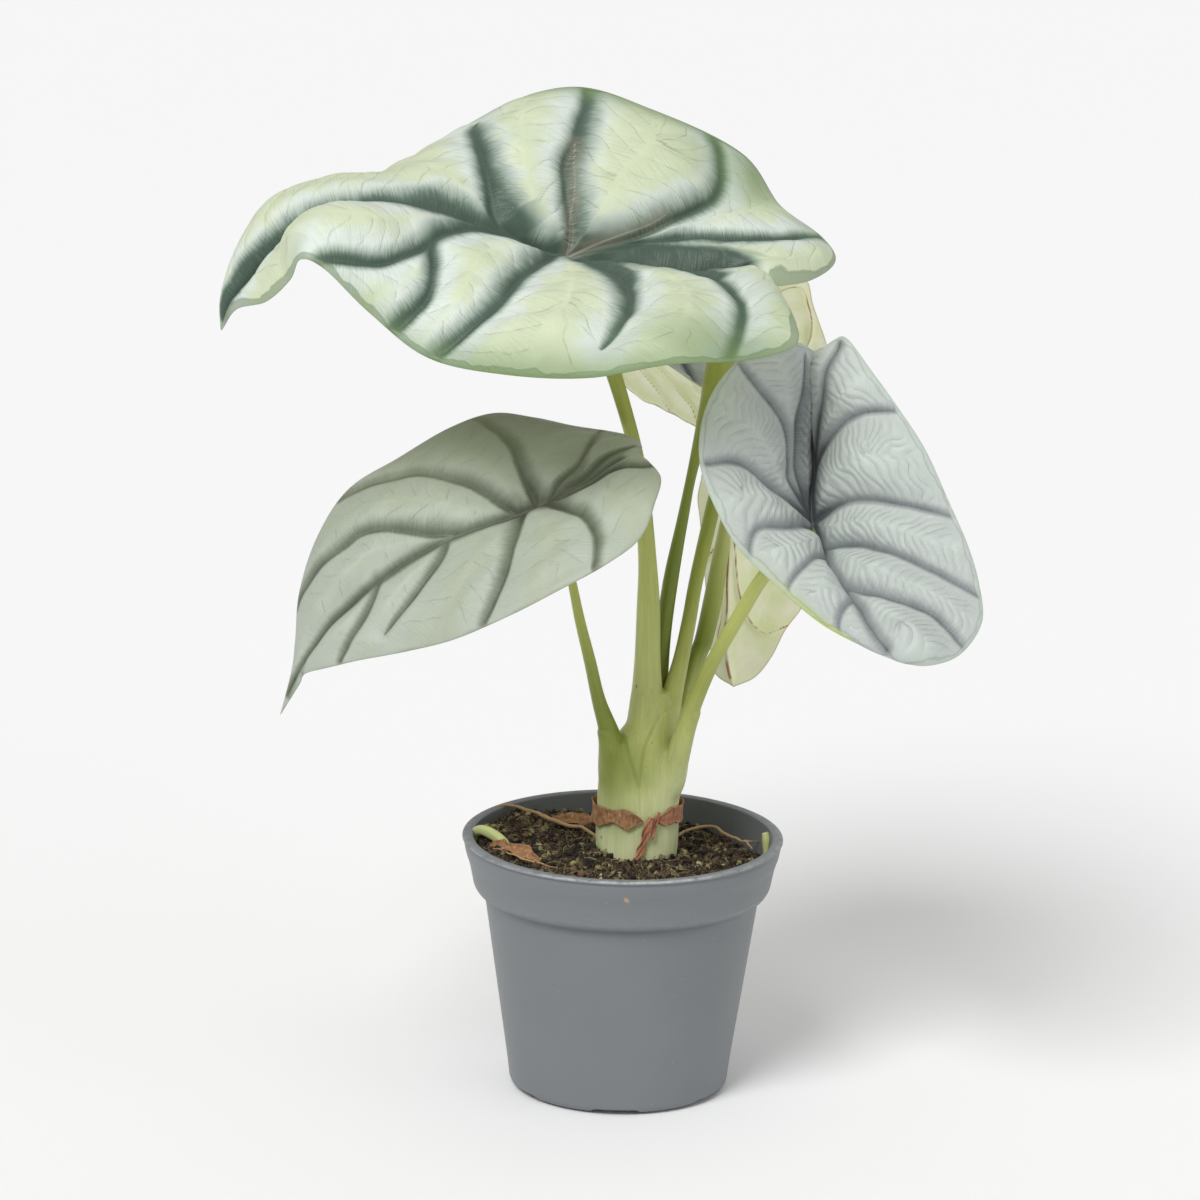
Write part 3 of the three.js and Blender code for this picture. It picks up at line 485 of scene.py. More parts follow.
def nearest_on_line(points, line):
    """Distance from each point to a line of samples, and the place there as a sample number"""
    squares = (line ** 2).sum(1) - 2 * points @ line.T
    index = squares.argmin(1)
    best = np.linalg.norm(points - line[index], axis=1)
    place = index.astype(float)
    for step in (-1, 1):
        other = np.clip(index + step, 0, len(line) - 1)
        segment = line[other] - line[index]
        reach = np.maximum((segment ** 2).sum(1), 1e-9)
        share = np.clip(((points - line[index]) * segment).sum(1) / reach, 0, 1)
        distance = np.linalg.norm(points - line[index] - segment * share[:, None], axis=1)
        closer = distance < best
        best = np.where(closer, distance, best)
        place = np.where(closer, index + step * share, place)
    return best, place


# Meshes

def make_piece(name, points, faces, materials, attributes, replaces=(), looks=None):
    """One smooth mesh object from points in mm, riding on the plant"""
    mesh = bpy.data.meshes.new(name)
    mesh.from_pydata((np.asarray(points) * MM).tolist(), [], faces)
    for material in materials:
        mesh.materials.append(material)
    if looks is not None:
        mesh.polygons.foreach_set("material_index", np.asarray(looks, np.int32))
    for label, values in attributes.items():
        add_attribute(mesh, label, values)
    mesh.polygons.foreach_set("use_smooth", np.ones(len(mesh.polygons), bool))
    mesh.validate()
    mesh.update()
    piece = bpy.data.objects.new(name, mesh)
    bpy.context.scene.collection.objects.link(piece)
    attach(piece, "root")
    if replaces:
        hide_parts(*replaces)
    return piece


def add_attribute(mesh, label, values):
    values = np.asarray(values, np.float32)
    kinds = {1: ("FLOAT", "value"), 3: ("FLOAT_VECTOR", "vector"), 4: ("FLOAT_COLOR", "color")}
    kind, field = kinds[1 if values.ndim == 1 else values.shape[1]]
    attribute = mesh.attributes.new(label, kind, "POINT")
    attribute.data.foreach_set(field, values.ravel())


class Heap:
    """Points, faces and values of many small solids that become one mesh"""

    def __init__(self):
        self.points = []
        self.faces = []
        self.values = {}
        self.count = 0

    def add(self, points, faces, **values):
        self.faces += [[corner + self.count for corner in face] for face in faces]
        self.points.append(np.asarray(points, float))
        for label, value in values.items():
            value = np.asarray(value, float)
            spread = value if value.ndim == 2 else np.tile(value, (len(points), 1))
            self.values.setdefault(label, []).append(spread)
        self.count += len(points)

    def joined(self):
        return np.vstack(self.points), {label: np.vstack(parts) for label, parts in self.values.items()}


def temporary_object(name, points, faces):
    """An object in the scene that is there only for its modifiers"""
    mesh = bpy.data.meshes.new(name)
    mesh.from_pydata((points * MM).tolist(), [], faces)
    made = bpy.data.objects.new(name, mesh)
    bpy.context.scene.collection.objects.link(made)
    return made


def modified_form(holder, *spares):
    """Points in mm and faces of a temporary object with its modifiers; it and its spares are removed"""
    made = bpy.data.meshes.new_from_object(holder.evaluated_get(bpy.context.evaluated_depsgraph_get()))
    points = np.zeros(len(made.vertices) * 3)
    made.vertices.foreach_get("co", points)
    faces = [list(face.vertices) for face in made.polygons]
    for mesh in (holder.data, *(spare.data for spare in spares), made):
        bpy.data.meshes.remove(mesh)
    return points.reshape(-1, 3) / MM, faces


def ring_faces(rings, sides):
    """Quads between rings that follow each other, and a face over each end"""
    faces = []
    for ring in range(rings - 1):
        for k in range(sides):
            a = ring * sides + k
            b = ring * sides + (k + 1) % sides
            faces.append([a, b, b + sides, a + sides])
    faces.append(list(range(sides))[::-1])
    faces.append([(rings - 1) * sides + k for k in range(sides)])
    return faces


def carried_frames(points):
    """Two directions across a line at each point, turned as little as possible on the way"""
    tangents = unit(np.gradient(points, axis=0))
    side = np.cross(tangents[0], (0, 1, 0))
    sides = [unit(side)]
    for tangent in tangents[1:]:
        side = sides[-1] - tangent * (sides[-1] @ tangent)
        sides.append(unit(side))
    sides = np.array(sides)
    return sides, np.cross(tangents, sides)


def tube(points, radii, sides, shape=None):
    """Rings of points round a line, with an optional factor on the radius for each angle and place"""
    points = np.asarray(points, float)
    first, second = carried_frames(points)
    angles = full_turn(sides)
    lengths = arc_lengths(points)
    factor = np.ones((len(points), sides))
    if shape:
        factor = shape(angles[None, :], (lengths / lengths[-1])[:, None]) * factor
    reach = np.asarray(radii, float)[:, None] * factor
    spread = (
        first[:, None, :] * (np.cos(angles) * reach)[:, :, None]
        + second[:, None, :] * (np.sin(angles) * reach)[:, :, None]
    )
    grain = np.stack([
        np.cos(angles) * reach, np.sin(angles) * reach, np.repeat(lengths[:, None], sides, axis=1),
    ], axis=-1)
    rings = (points[:, None, :] + spread).reshape(-1, 3)
    return rings, ring_faces(len(points), sides), grain.reshape(-1, 3)


# Node trees

class Value:
    """What comes out of a socket, so that sums over a surface can be written as sums"""

    def __init__(self, socket):
        self.socket = socket
        self.tree = socket.id_data

    def maths(self, operation, other=0.0):
        return add_node(self.tree, "ShaderNodeMath", 0, {0: self, 1: other}, operation=operation)

    def __add__(self, other):
        return self.maths("ADD", other)

    def __sub__(self, other):
        return self.maths("SUBTRACT", other)

    def __mul__(self, other):
        return self.maths("MULTIPLY", other)

    def step(self, low, high, start=0.0, end=1.0):
        """A soft step, from start where this is at low to end where it is at high"""
        inputs = {"Value": self, "From Min": low, "From Max": high, "To Min": start, "To Max": end}
        return add_node(
            self.tree, "ShaderNodeMapRange", "Result", inputs, interpolation_type="SMOOTHSTEP",
        )


def add_node(tree, kind, output, inputs=None, **settings):
    """A new node with its inputs and settings, as the value of one of its outputs"""
    made = tree.nodes.new(kind)
    for label, value in settings.items():
        setattr(made, label, value)
    feed(tree, made, inputs or {})
    return Value(made.outputs[output])


def feed(tree, made, inputs):
    """Links or sets the inputs of a node"""
    for label, value in inputs.items():
        if isinstance(value, Value):
            tree.links.new(value.socket, made.inputs[label])
        else:
            made.inputs[label].default_value = value


def split(vector):
    """The three parts of a vector"""
    first = add_node(vector.tree, "ShaderNodeSeparateXYZ", 0, {0: vector})
    return [Value(socket) for socket in first.socket.node.outputs]


def mixed(share, first, second):
    """The first colour, moved toward the second by a share"""
    return add_node(
        share.tree, "ShaderNodeMix", 2, {0: share, 6: first, 7: second}, data_type="RGBA",
    )


def shaded(tint, brightness):
    return add_node(tint.tree, "ShaderNodeHueSaturation", 0, {"Value": brightness, "Color": tint})


def noise(vector, scale, detail=2.0, roughness=0.5):
    inputs = {"Vector": vector, "Scale": scale, "Detail": detail, "Roughness": roughness}
    return add_node(vector.tree, "ShaderNodeTexNoise", "Fac", inputs)


def stretched(vector, scale):
    return add_node(vector.tree, "ShaderNodeVectorMath", 0, {0: vector, 1: scale}, operation="MULTIPLY")


def attribute(tree, label, output="Vector"):
    return add_node(tree, "ShaderNodeAttribute", output, attribute_name=label)


def place_in_mm(tree):
    """Where a point of the surface is, in millimetres"""
    return stretched(add_node(tree, "ShaderNodeTexCoord", "Object"), (1000, 1000, 1000))


GREY = colour(128, 128, 128)
LOOK = {"Color": GREY, "Roughness": 0.5, "Height": 0.0}


def shader_group(name, inputs, outputs=LOOK):
    """A new node group with sockets named after the inputs and outputs, and the values of its inputs"""
    tree = bpy.data.node_groups.new(name, "ShaderNodeTree")
    for sockets, way in ((inputs, "INPUT"), (outputs, "OUTPUT")):
        for label, default in sockets.items():
            kind = {1: "Float", 3: "Vector", 4: "Color"}[np.size(default)]
            socket = tree.interface.new_socket(label, in_out=way, socket_type="NodeSocket" + kind)
            socket.default_value = default
    given = tree.nodes.new("NodeGroupInput").outputs
    return tree, {label: Value(given[label]) for label in inputs}


def close_group(tree, values):
    """Links what a group gives, and returns the group"""
    feed(tree, tree.nodes.new("NodeGroupOutput"), values)
    return tree


def group_in(tree, name, build, values):
    """The named group, built when first asked for, as a node of the tree with its own values"""
    made = tree.nodes.new("ShaderNodeGroup")
    made.node_tree = bpy.data.node_groups.get(name) or build(name)
    feed(tree, made, values)
    return made.outputs


def look_material(name, group, build, values, bump=1.0):
    """A material fed by a group's colour, roughness and height in mm, and its Principled shader"""
    material = bpy.data.materials.new(name)
    material.use_nodes = True
    tree = material.node_tree
    shader = tree.nodes["Principled BSDF"]
    outputs = group_in(tree, group, build, values)
    height = {"Height": Value(outputs["Height"]), "Distance": MM, "Strength": bump}
    feed(tree, shader, {
        "Base Color": Value(outputs["Color"]), "Roughness": Value(outputs["Roughness"]),
        "Normal": add_node(tree, "ShaderNodeBump", "Normal", height),
    })
    return material, shader


def specks_group(name):
    """Scattered small round dots"""
    tree, values = shader_group(name, {"Vector": (0, 0, 0), "Scale": 1.0, "Amount": 0.1}, {"Mask": 0.0})
    cells = {"Vector": values["Vector"], "Scale": values["Scale"]}
    distance = add_node(tree, "ShaderNodeTexVoronoi", "Distance", cells)
    chance, size, _ = split(Value(distance.socket.node.outputs["Color"]))
    chosen = chance.maths("LESS_THAN", values["Amount"])
    return close_group(tree, {"Mask": chosen * distance.maths("LESS_THAN", size * 0.16 + 0.08)})


def specks(vector, scale, amount):
    """Mask of small specks, such as dust and pale dots"""
    values = {"Vector": vector, "Scale": scale, "Amount": amount}
    return Value(group_in(vector.tree, "Scattered Specks", specks_group, values)["Mask"])


UPPER_COLOURS = ("Silver", "Heart", "Halo", "Band", "Margin", "Warm", "Worn")
UPPER_NUMBERS = {
    "Core": "core", "Feather": "feather", "Hairlines": "hairlines", "Fine Veins": "fine",
    "Margin Width": "margin",
}


def upper_face_group(name):
    """Silver panels, soft dark vein bands with fine hairlines, a green margin and worn places"""
    tree, values = shader_group(name, dict.fromkeys(UPPER_COLOURS, GREY) | dict.fromkeys(UPPER_NUMBERS, 0.5))
    near, along, ratio = split(attribute(tree, "vein"))
    seam, edge, rung = split(attribute(tree, "panel"))
    warm, shade, crease = split(attribute(tree, "zone"))
    where = place_in_mm(tree)

    inside = seam.step(0.4, 1.8)
    streak = across_streaks(along, near, 1.7, 0.12) * inside
    hair = across_streaks(along, near, 2.8, 0.08) * inside
    blotch = noise(where, 0.11) - 0.5
    # Shade widens the dark bands; on the largest blade part of it is painted shade of the down-turned tip and
    # edge
    feathered = ratio - streak * values["Feather"] * 1.6 + blotch * 0.45 - shade * 1.1
    band = feathered.step(values["Core"] + 0.35, values["Core"] - 0.2)

    coloured = mixed((blotch * 16.0 + near).step(5.0, 15.0, 0.0, 0.9), values["Silver"], values["Heart"])
    coloured = mixed(feathered.step(1.35, 0.2), coloured, values["Halo"])
    lifted = mixed(streak.step(0.0, 0.35, 0.0, 0.5), values["Band"], values["Halo"])
    coloured = mixed(band, coloured, lifted)
    coloured = mixed(hair.step(0.0, 0.3) * values["Hairlines"], coloured, values["Halo"])

    rung_line = (rung.maths("FRACT") - 0.5).maths("ABSOLUTE").step(0.045, 0.01)
    lines = rung_line * inside * near.step(1.5, 6.0) * edge.step(2.0, 5.0)
    lines = lines * noise(where, 0.2).step(0.35, 0.6, 0.3, 1.0)
    coloured = mixed(lines * values["Fine Veins"], coloured, values["Halo"])

    # Warm tint; along the largest blade's second edge it is partly painted shade of the curled edge
    coloured = mixed(warm * 0.85, coloured, values["Warm"])
    width = values["Margin Width"]
    wavy_edge = blotch * 4.0 + edge
    strip = wavy_edge.step(width + 0.5, width - 0.5) * 0.7
    coloured = mixed(strip, coloured, mixed(warm, values["Margin"], values["Warm"]))
    rim_vein = (wavy_edge - width).maths("ABSOLUTE").step(0.45, 0.1) * width.step(0.5, 1.5, 0.0, 0.35)
    coloured = mixed(rim_vein, coloured, values["Band"])

    worn = crease.step(5.0, 0.8) * streak.step(-0.12, 0.1)
    coloured = mixed(worn * 0.6, coloured, values["Worn"])
    coloured = mixed(crease.step(0.5, 0.2) * 0.4, coloured, colour(190, 186, 166))
    coloured = mixed(specks(where, 1.1, 0.02) * 0.25, coloured, colour(222, 226, 216))

    grain = noise(where, 1.6, 3.0, 0.6)
    return close_group(tree, {
        "Color": coloured,
        "Roughness": grain * 0.22 - band * 0.05 + 0.38,
        "Height": grain * 0.14 - lines * 0.15 + streak * 0.22 + hair * 0.16,
    })


def across_streaks(along, near, fineness, stretch):
    """Fine streaks that run off a vein at right angles, about -0.5 to 0.5"""
    inputs = {0: along * fineness, 1: near * stretch}
    return noise(add_node(along.tree, "ShaderNodeCombineXYZ", 0, inputs), 1.0) - 0.5


def underside_group(name):
    """Cream underside with raised reddish veins"""
    tree, values = shader_group(name, {"Cream": GREY, "Tint": GREY, "Vein": GREY})
    near = split(attribute(tree, "vein"))[0]
    edge = split(attribute(tree, "panel"))[1]
    where = place_in_mm(tree)
    base = mixed(noise(where, 0.07).step(0.3, 0.8), values["Cream"], values["Tint"])
    base = mixed(near.step(6.0, 1.0, 0.0, 0.45), base, values["Tint"])
    patchy = noise(where, 0.12, 3.0).step(0.3, 0.6, 0.2, 0.9)
    base = mixed(near.step(0.51, 0.204) * patchy, base, values["Vein"])
    base = mixed(edge.step(0.7, 0.2, 0.0, 0.4), base, values["Vein"])
    grain = noise(where, 1.4, 3.0)
    return close_group(tree, {"Color": base, "Roughness": grain * 0.2 + 0.4, "Height": grain * 0.12})


def stem_group(name):
    """Fleshy stem colour from the tint on the mesh, with fine streaks along the stem and dark dots"""
    tree, values = shader_group(name, {"Streaks": 0.5, "Dots": 0.05})
    grain = attribute(tree, "grain")
    fine = noise(stretched(grain, (1.5, 1.5, 0.05)), 1.0, 3.0, 0.6)
    broad = noise(stretched(grain, (0.35, 0.35, 0.03)), 1.0)
    varied = shaded(attribute(tree, "tint", "Color"), (fine + broad - 1.0) * values["Streaks"] + 1.0)
    dots = specks(stretched(grain, (1, 1, 0.6)), 0.5, values["Dots"])
    varied = mixed(dots * 0.7, varied, colour(80, 70, 45))
    return close_group(tree, {"Color": varied, "Roughness": fine * 0.2 + 0.32, "Height": fine * 0.15})


def dry_group(name):
    """Papery dead tissue in the tint on the mesh, streaked along its fibres"""
    tree, values = shader_group(name, {"Pale": colour(214, 176, 136), "Dark": colour(92, 54, 34)})
    grain = attribute(tree, "grain")
    fibre = noise(stretched(grain, (1.2, 1.2, 0.35)), 1.0, 4.0, 0.65)
    base = mixed(fibre.step(0.5, 0.75, 0.0, 0.8), attribute(tree, "tint", "Color"), values["Pale"])
    base = mixed(fibre.step(0.48, 0.25, 0.0, 0.8), base, values["Dark"])
    base = mixed(noise(grain, 0.25).step(0.5, 0.75, 0.0, 0.5), base, values["Dark"])
    return close_group(tree, {"Color": base, "Roughness": fibre * 0.2 + 0.55, "Height": fibre * 0.35})


def soil_group(name):
    """Peat colour from the tint on the mesh, broken up at the scale of grains, with dark peat as painted
    shade in the low spots of the grain relief
    """
    tree, values = shader_group(name, {"Dark": GREY})
    where = place_in_mm(tree)
    grains = noise(where, 1.1, 5.0, 0.7)
    # Painted shade: dark peat where the grain relief is low
    base = mixed(grains.step(0.56, 0.36, 0.0, 0.85), attribute(tree, "tint", "Color"), values["Dark"])
    base = mixed(noise(where, 0.25, 3.0).step(0.5, 0.3, 0.0, 0.5), base, values["Dark"])
    return close_group(tree, {"Color": base, "Roughness": grains * 0.2 + 0.75, "Height": grains * 0.7})


def plastic_group(name):
    """Satin moulded plastic with faint blotches, dust, rubbed edges, a painted highlight along the front of
    the lip, painted shade in the crease under the band and a dried fleck
    """
    inputs = {"Plastic": GREY, "Scuff": GREY, "Fleck": GREY, "Fleck Place": (0, 0, 0)}
    tree, values = shader_group(name, inputs)
    wear_and_painted_highlight, crease, _ = split(attribute(tree, "marks"))
    where = place_in_mm(tree)
    cloud = noise(where, 0.03)
    fine = noise(where, 2.4)
    # The crease value darkens the plastic toward dark grey: painted shade in the crease under the band
    base = mixed(crease, shaded(values["Plastic"], cloud * 0.16 + fine * 0.04 + 0.9), colour(78, 82, 86))
    # Rubbed places take the scuff colour; along the front of the lip they are a painted highlight
    rubbed = noise(stretched(where, (0.5, 0.5, 1.2)), 0.5, 4.0, 0.7).step(0.3, 0.62) * wear_and_painted_highlight
    base = mixed(rubbed, base, values["Scuff"])
    base = mixed(specks(where, 0.7, 0.025) * 0.22, base, values["Scuff"])
    ends = {0: where, 1: values["Fleck Place"]}
    from_fleck = add_node(tree, "ShaderNodeVectorMath", "Value", ends, operation="DISTANCE")
    ragged = noise(where, 1.3, 3.0, 0.7) * 4.0 + from_fleck - 2.0
    base = mixed(ragged.step(1.1, 0.7), base, values["Fleck"])
    return close_group(tree, {
        "Color": base, "Roughness": cloud * 0.16 + rubbed * 0.2 + 0.36, "Height": fine * 0.02,
    })


# Blades

class Blade:
    """The curved form of one blade, from its ribs and veins"""

    def __init__(self, ribs, veins, hub, arch, quilt):
        self.ribs = np.array(ribs, float)
        self.hub = np.array(hub, float)
        self.arch = arch
        self.quilt = quilt
        self.last = len(ribs) - 1
        self.hub_rib = int(np.where(~self.ribs[:, 1].any(axis=1))[0][0])
        self.veins = veins

    def flat(self, u, v):
        """Point on the blade without its swelling"""
        u, v = np.broadcast_arrays(np.asarray(u, float), np.asarray(v, float))
        middle = through(self.ribs[:, 1], u)
        first = through(self.ribs[:, 0], u)
        second = through(self.ribs[:, 2], u)
        edge = np.where((v < 0)[..., None], first, second)
        return middle + (edge - middle) * np.abs(v)[..., None] + self.hub

    def normal(self, u, v):
        """Direction that the silvery face looks in"""
        step = 0.02
        inner = np.clip(u, 0.15, self.last - 0.15)
        along = self.flat(inner + step, v) - self.flat(inner - step, v)
        wide = 0.06
        across = self.flat(inner, np.minimum(v + wide, 1)) - self.flat(inner, np.maximum(v - wide, -1))
        return unit(np.cross(along, across))

    def vein_lines(self):
        """The main veins as lines of points: the laterals, then the two halves of the midrib"""
        lines = []
        for route in self.veins:
            places = through(route, np.arange(0, len(route) - 1 + 0.01, 0.04))
            ahead = places[-1] - places[-6]
            to_edge = (0.98 - abs(places[-1, 1])) / max(abs(ahead[1]), 0.02)
            if 0 < to_edge < 3:
                steps = np.linspace(0, to_edge, 12)[1:, None]
                places = np.vstack([places, places[-1] + ahead * steps])
            lines.append(self.flat(places[:, 0], np.clip(places[:, 1], -1, 1)))
        lines.append(self.flat(np.arange(self.hub_rib, self.last - 0.5, 0.05), 0.0))
        lines.append(self.flat(np.arange(self.hub_rib, 1, -0.05), 0.0))
        return lines

    def outline(self):
        u = np.arange(0, self.last + 0.01, 0.05)
        return self.flat(u, -1.0), self.flat(u, 1.0)


def side_of_line(points, line, place, normals):
    """1 on the right of a line of samples, seen from the upper face, -1 on its left, 0 on the line"""
    tangents = unit(np.gradient(line, axis=0))
    index = np.rint(place).astype(int)
    across = np.cross(tangents[index], points - line[index])
    return -np.tanh((across * normals).sum(1))


def vein_fields(blade, points, normals, plan):
    """What the finish needs at each point: distances to veins, panel seams and the edge, in mm"""
    distances, alongs, ratios = [], [], []
    lines = blade.vein_lines()
    edges = np.vstack(blade.outline())
    for number, line in enumerate(lines):
        distance, place = nearest_on_line(points, line)
        lengths = arc_lengths(line)
        share = place / (len(line) - 1)
        midrib = number >= len(blade.veins)
        width = plan["widths"].get(number - len(lines) if midrib else number, 1.0)
        lean = 0 if midrib else plan["lean"] * (-1 if number in plan["left_soft"] else 1)
        hand = side_of_line(points, line, place, normals)
        reach = plan["reach"] * width * (1.0 - 0.5 * share) * (1 + lean * hand)
        if not midrib and nearest_on_line(line[-1:], edges)[0][0] > 3:
            reach = reach * np.sqrt(np.clip((1.02 - share) / 0.3, 0, 1))
        distances.append(distance)
        alongs.append(np.interp(place, np.arange(len(line)), lengths) + 61.0 * number)
        ratios.append(distance / reach)
    distances = np.array(distances)
    first = distances.argmin(0)
    ordered = np.sort(distances, axis=0)
    along = np.array(alongs)[first, np.arange(len(points))]
    edge = np.minimum(*(nearest_on_line(points, line)[0] for line in blade.outline()))
    return {
        "near": ordered[0], "seam": (ordered[1] - ordered[0]) / 2, "along": along,
        "ratio": np.array(ratios).min(0), "edge": edge, "vein": first,
    }


def spots(places, u, v):
    """Strongest of some soft spots on a blade, each a rib, a share, two reaches and a strength"""
    mask = np.zeros(len(u))
    for middle_u, middle_v, reach_u, reach_v, strength in places:
        square = ((u - middle_u) / reach_u) ** 2 + ((v - middle_v) / reach_v) ** 2
        mask = np.maximum(mask, strength * np.exp(-square))
    return mask


def notch_wedge(wedge, u, v):
    """The dark wedge from the hub to the notch, from pairs of rib and half share, and its strength"""
    if not wedge:
        return np.zeros(len(u))
    ribs, halves = np.array(wedge["halves"], float).T
    half = np.interp(u, ribs, halves, left=halves[0], right=-1)
    return wedge["strength"] * smooth(half - np.abs(v), -0.07, 0.09)


def crease_distance(blade, routes, points):
    """Distance in mm to the nearest crease of worn tissue"""
    distance = np.full(len(points), 99.0)
    for route in routes:
        places = sampled(route, 60)
        line = blade.flat(places[:, 0], places[:, 1])
        distance = np.minimum(distance, nearest_on_line(points, line)[0])
    return distance


def rung_places(fields, points, spacing, wander):
    """Number that rises by one from each small side vein to the next"""
    bend = 0.75 * fields["near"] + 1.0 * waves(points, 26, 3) + wander * spacing * waves(points, 8, 4)
    return (fields["along"] + bend) / spacing + 0.37 * fields["vein"]


def blade_relief(blade, u, v, points, fields, pucker, groove, spacing):
    """How far the upper face stands above the flat form, in mm"""
    share = np.abs(v)
    width = np.linalg.norm(blade.flat(u, np.where(v < 0, -1.0, 1.0)) - blade.flat(u, 0.0), axis=-1)
    to_edge = (1 - share) * width
    arch = blade.arch * 4 * share * (1 - share) * np.minimum(width / 30, 1)
    from_vein = np.sqrt(fields["near"] ** 2 + 1.5 ** 2) - 1.5
    quilt = blade.quilt * (1 - np.exp(-from_vein / 7)) * (1 - np.exp(-to_edge / 7))
    inside = smooth(fields["edge"], 1.0, 5.0)
    rung = np.abs(fields["rung"] % 1 - 0.5) * spacing
    fine = min(1.1, 0.24 * spacing)
    small = np.exp(-(rung / fine) ** 2) + 0.5 * np.exp(-(fields["seam"] / 1.8) ** 2)
    dents = pucker * small * smooth(fields["near"], 0.8, 4.0) * inside
    main = groove * np.exp(-(fields["near"] / 1.3) ** 2) * inside
    ripple = 0.4 * waves(points, 13, 7) * inside
    return arch + quilt - dents - main + ripple


def blade_mesh(blade, plan, settings):
    """Points, faces, looks and attributes of a blade: a fine upper face, an underside and the rim"""
    points, ids, fields = blade_side(blade, plan, settings, False)
    low_points, low_ids, low_fields = blade_side(blade, plan, settings, True)
    low_ids = low_ids + len(points)
    faces = grid_faces(ids, False)
    under = grid_faces(low_ids, True)
    rim = rim_faces(ids, low_ids, plan["coarser"])
    looks = [0] * len(faces) + [1] * len(under) + [0] * len(rim)
    both = {key: np.concatenate([fields[key], low_fields[key]]) for key in fields}
    attributes = {
        "vein": np.stack([both["near"], both["along"], both["ratio"]], axis=1),
        "panel": np.stack([both["seam"], both["edge"], both["rung"]], axis=1),
        "zone": np.stack([both["warm"], both["shade"], both["crease"]], axis=1),
    }
    return np.vstack([points, low_points]), faces + under + rim, looks, attributes


def blade_side(blade, plan, settings, below):
    """One face of a blade as points, their numbers in the grid, and their fields"""
    coarser = plan["coarser"] if below else 1
    u_steps = np.linspace(0, blade.last, plan["rows"] // coarser + 1)
    v_steps = np.linspace(-1, 1, plan["columns"] // coarser + 1)
    u, v = (grid.ravel() for grid in np.meshgrid(u_steps, v_steps, indexing="ij"))
    across = len(v_steps)
    ids = np.arange(len(u)).reshape(len(u_steps), across)
    kept = np.r_[0, across:len(u) - across, len(u) - 1]
    ids = np.clip(ids - (across - 1), 0, len(kept) - 1)
    u, v = u[kept], v[kept]
    flat = blade.flat(u, v)
    normals = blade.normal(u, v)
    fields = vein_fields(blade, flat, normals, plan)
    fields["rung"] = rung_places(fields, flat, plan["rungs"], plan["wander"])
    fields["warm"] = spots(plan["warm"], u, v)
    fields["shade"] = np.maximum(spots(plan["shade"], u, v), notch_wedge(plan["wedge"], u, v))
    fields["crease"] = crease_distance(blade, plan["creases"], flat)
    pucker = plan["pucker"] * settings.pucker / MM
    height = blade_relief(blade, u, v, flat, fields, pucker, settings.groove / MM, plan["rungs"])
    half = settings.thickness / MM / 2 * np.sqrt(smooth(fields["edge"], -0.3, 1.0))
    bulge = settings.ridge / MM * np.exp(-(fields["near"] / 1.3) ** 2) * smooth(fields["edge"], 0.5, 4)
    offset = height - half - bulge if below else height + half
    return flat + normals * offset[:, None], ids, fields


def grid_faces(ids, flipped):
    """Faces of a grid whose first and last rows are a single point"""
    faces = []
    rows = ids.tolist()
    for i in range(len(rows) - 1):
        here, following = rows[i], rows[i + 1]
        for j in range(len(here) - 1):
            face = [here[j], following[j], following[j + 1], here[j + 1]]
            face = face[:3] if i == 0 else face
            face = [face[0], face[1], face[3]] if i == len(rows) - 2 else face
            faces.append(face[::-1] if flipped else face)
    return faces


def rim_faces(ids, low_ids, coarser):
    """Narrow faces that close the edge between the fine upper face and the coarser underside"""
    faces = []
    steps = len(low_ids) - 1
    for column, flipped in ((0, False), (-1, True)):
        for i in range(steps):
            fine = ids[i * coarser:(i + 1) * coarser + 1, column].tolist()
            face = fine + [int(low_ids[i + 1, column]), int(low_ids[i, column])]
            face = list(dict.fromkeys(face))
            faces.append(face if flipped else face[::-1])
    return faces


# How each blade is made. The underside has a grid that is coarser by a whole number. Reach is half a band's
# width in mm where the vein starts, widths changes it for single veins (-2 is the midrib to the tip, -1 the
# one to the notch), and rungs is the mm from one small side vein to the next, which wander by a share of
# that. A band is softer on the right of its vein by the share in lean, or on the left for the veins in
# left_soft. Warm and shade are soft spots: rib, share, reach in ribs, reach in shares, strength. The wedge is
# a dark place from the hub to the notch, given by rib and half share. Core, feather, hairlines, fine and
# margin go to the upper face's shader.

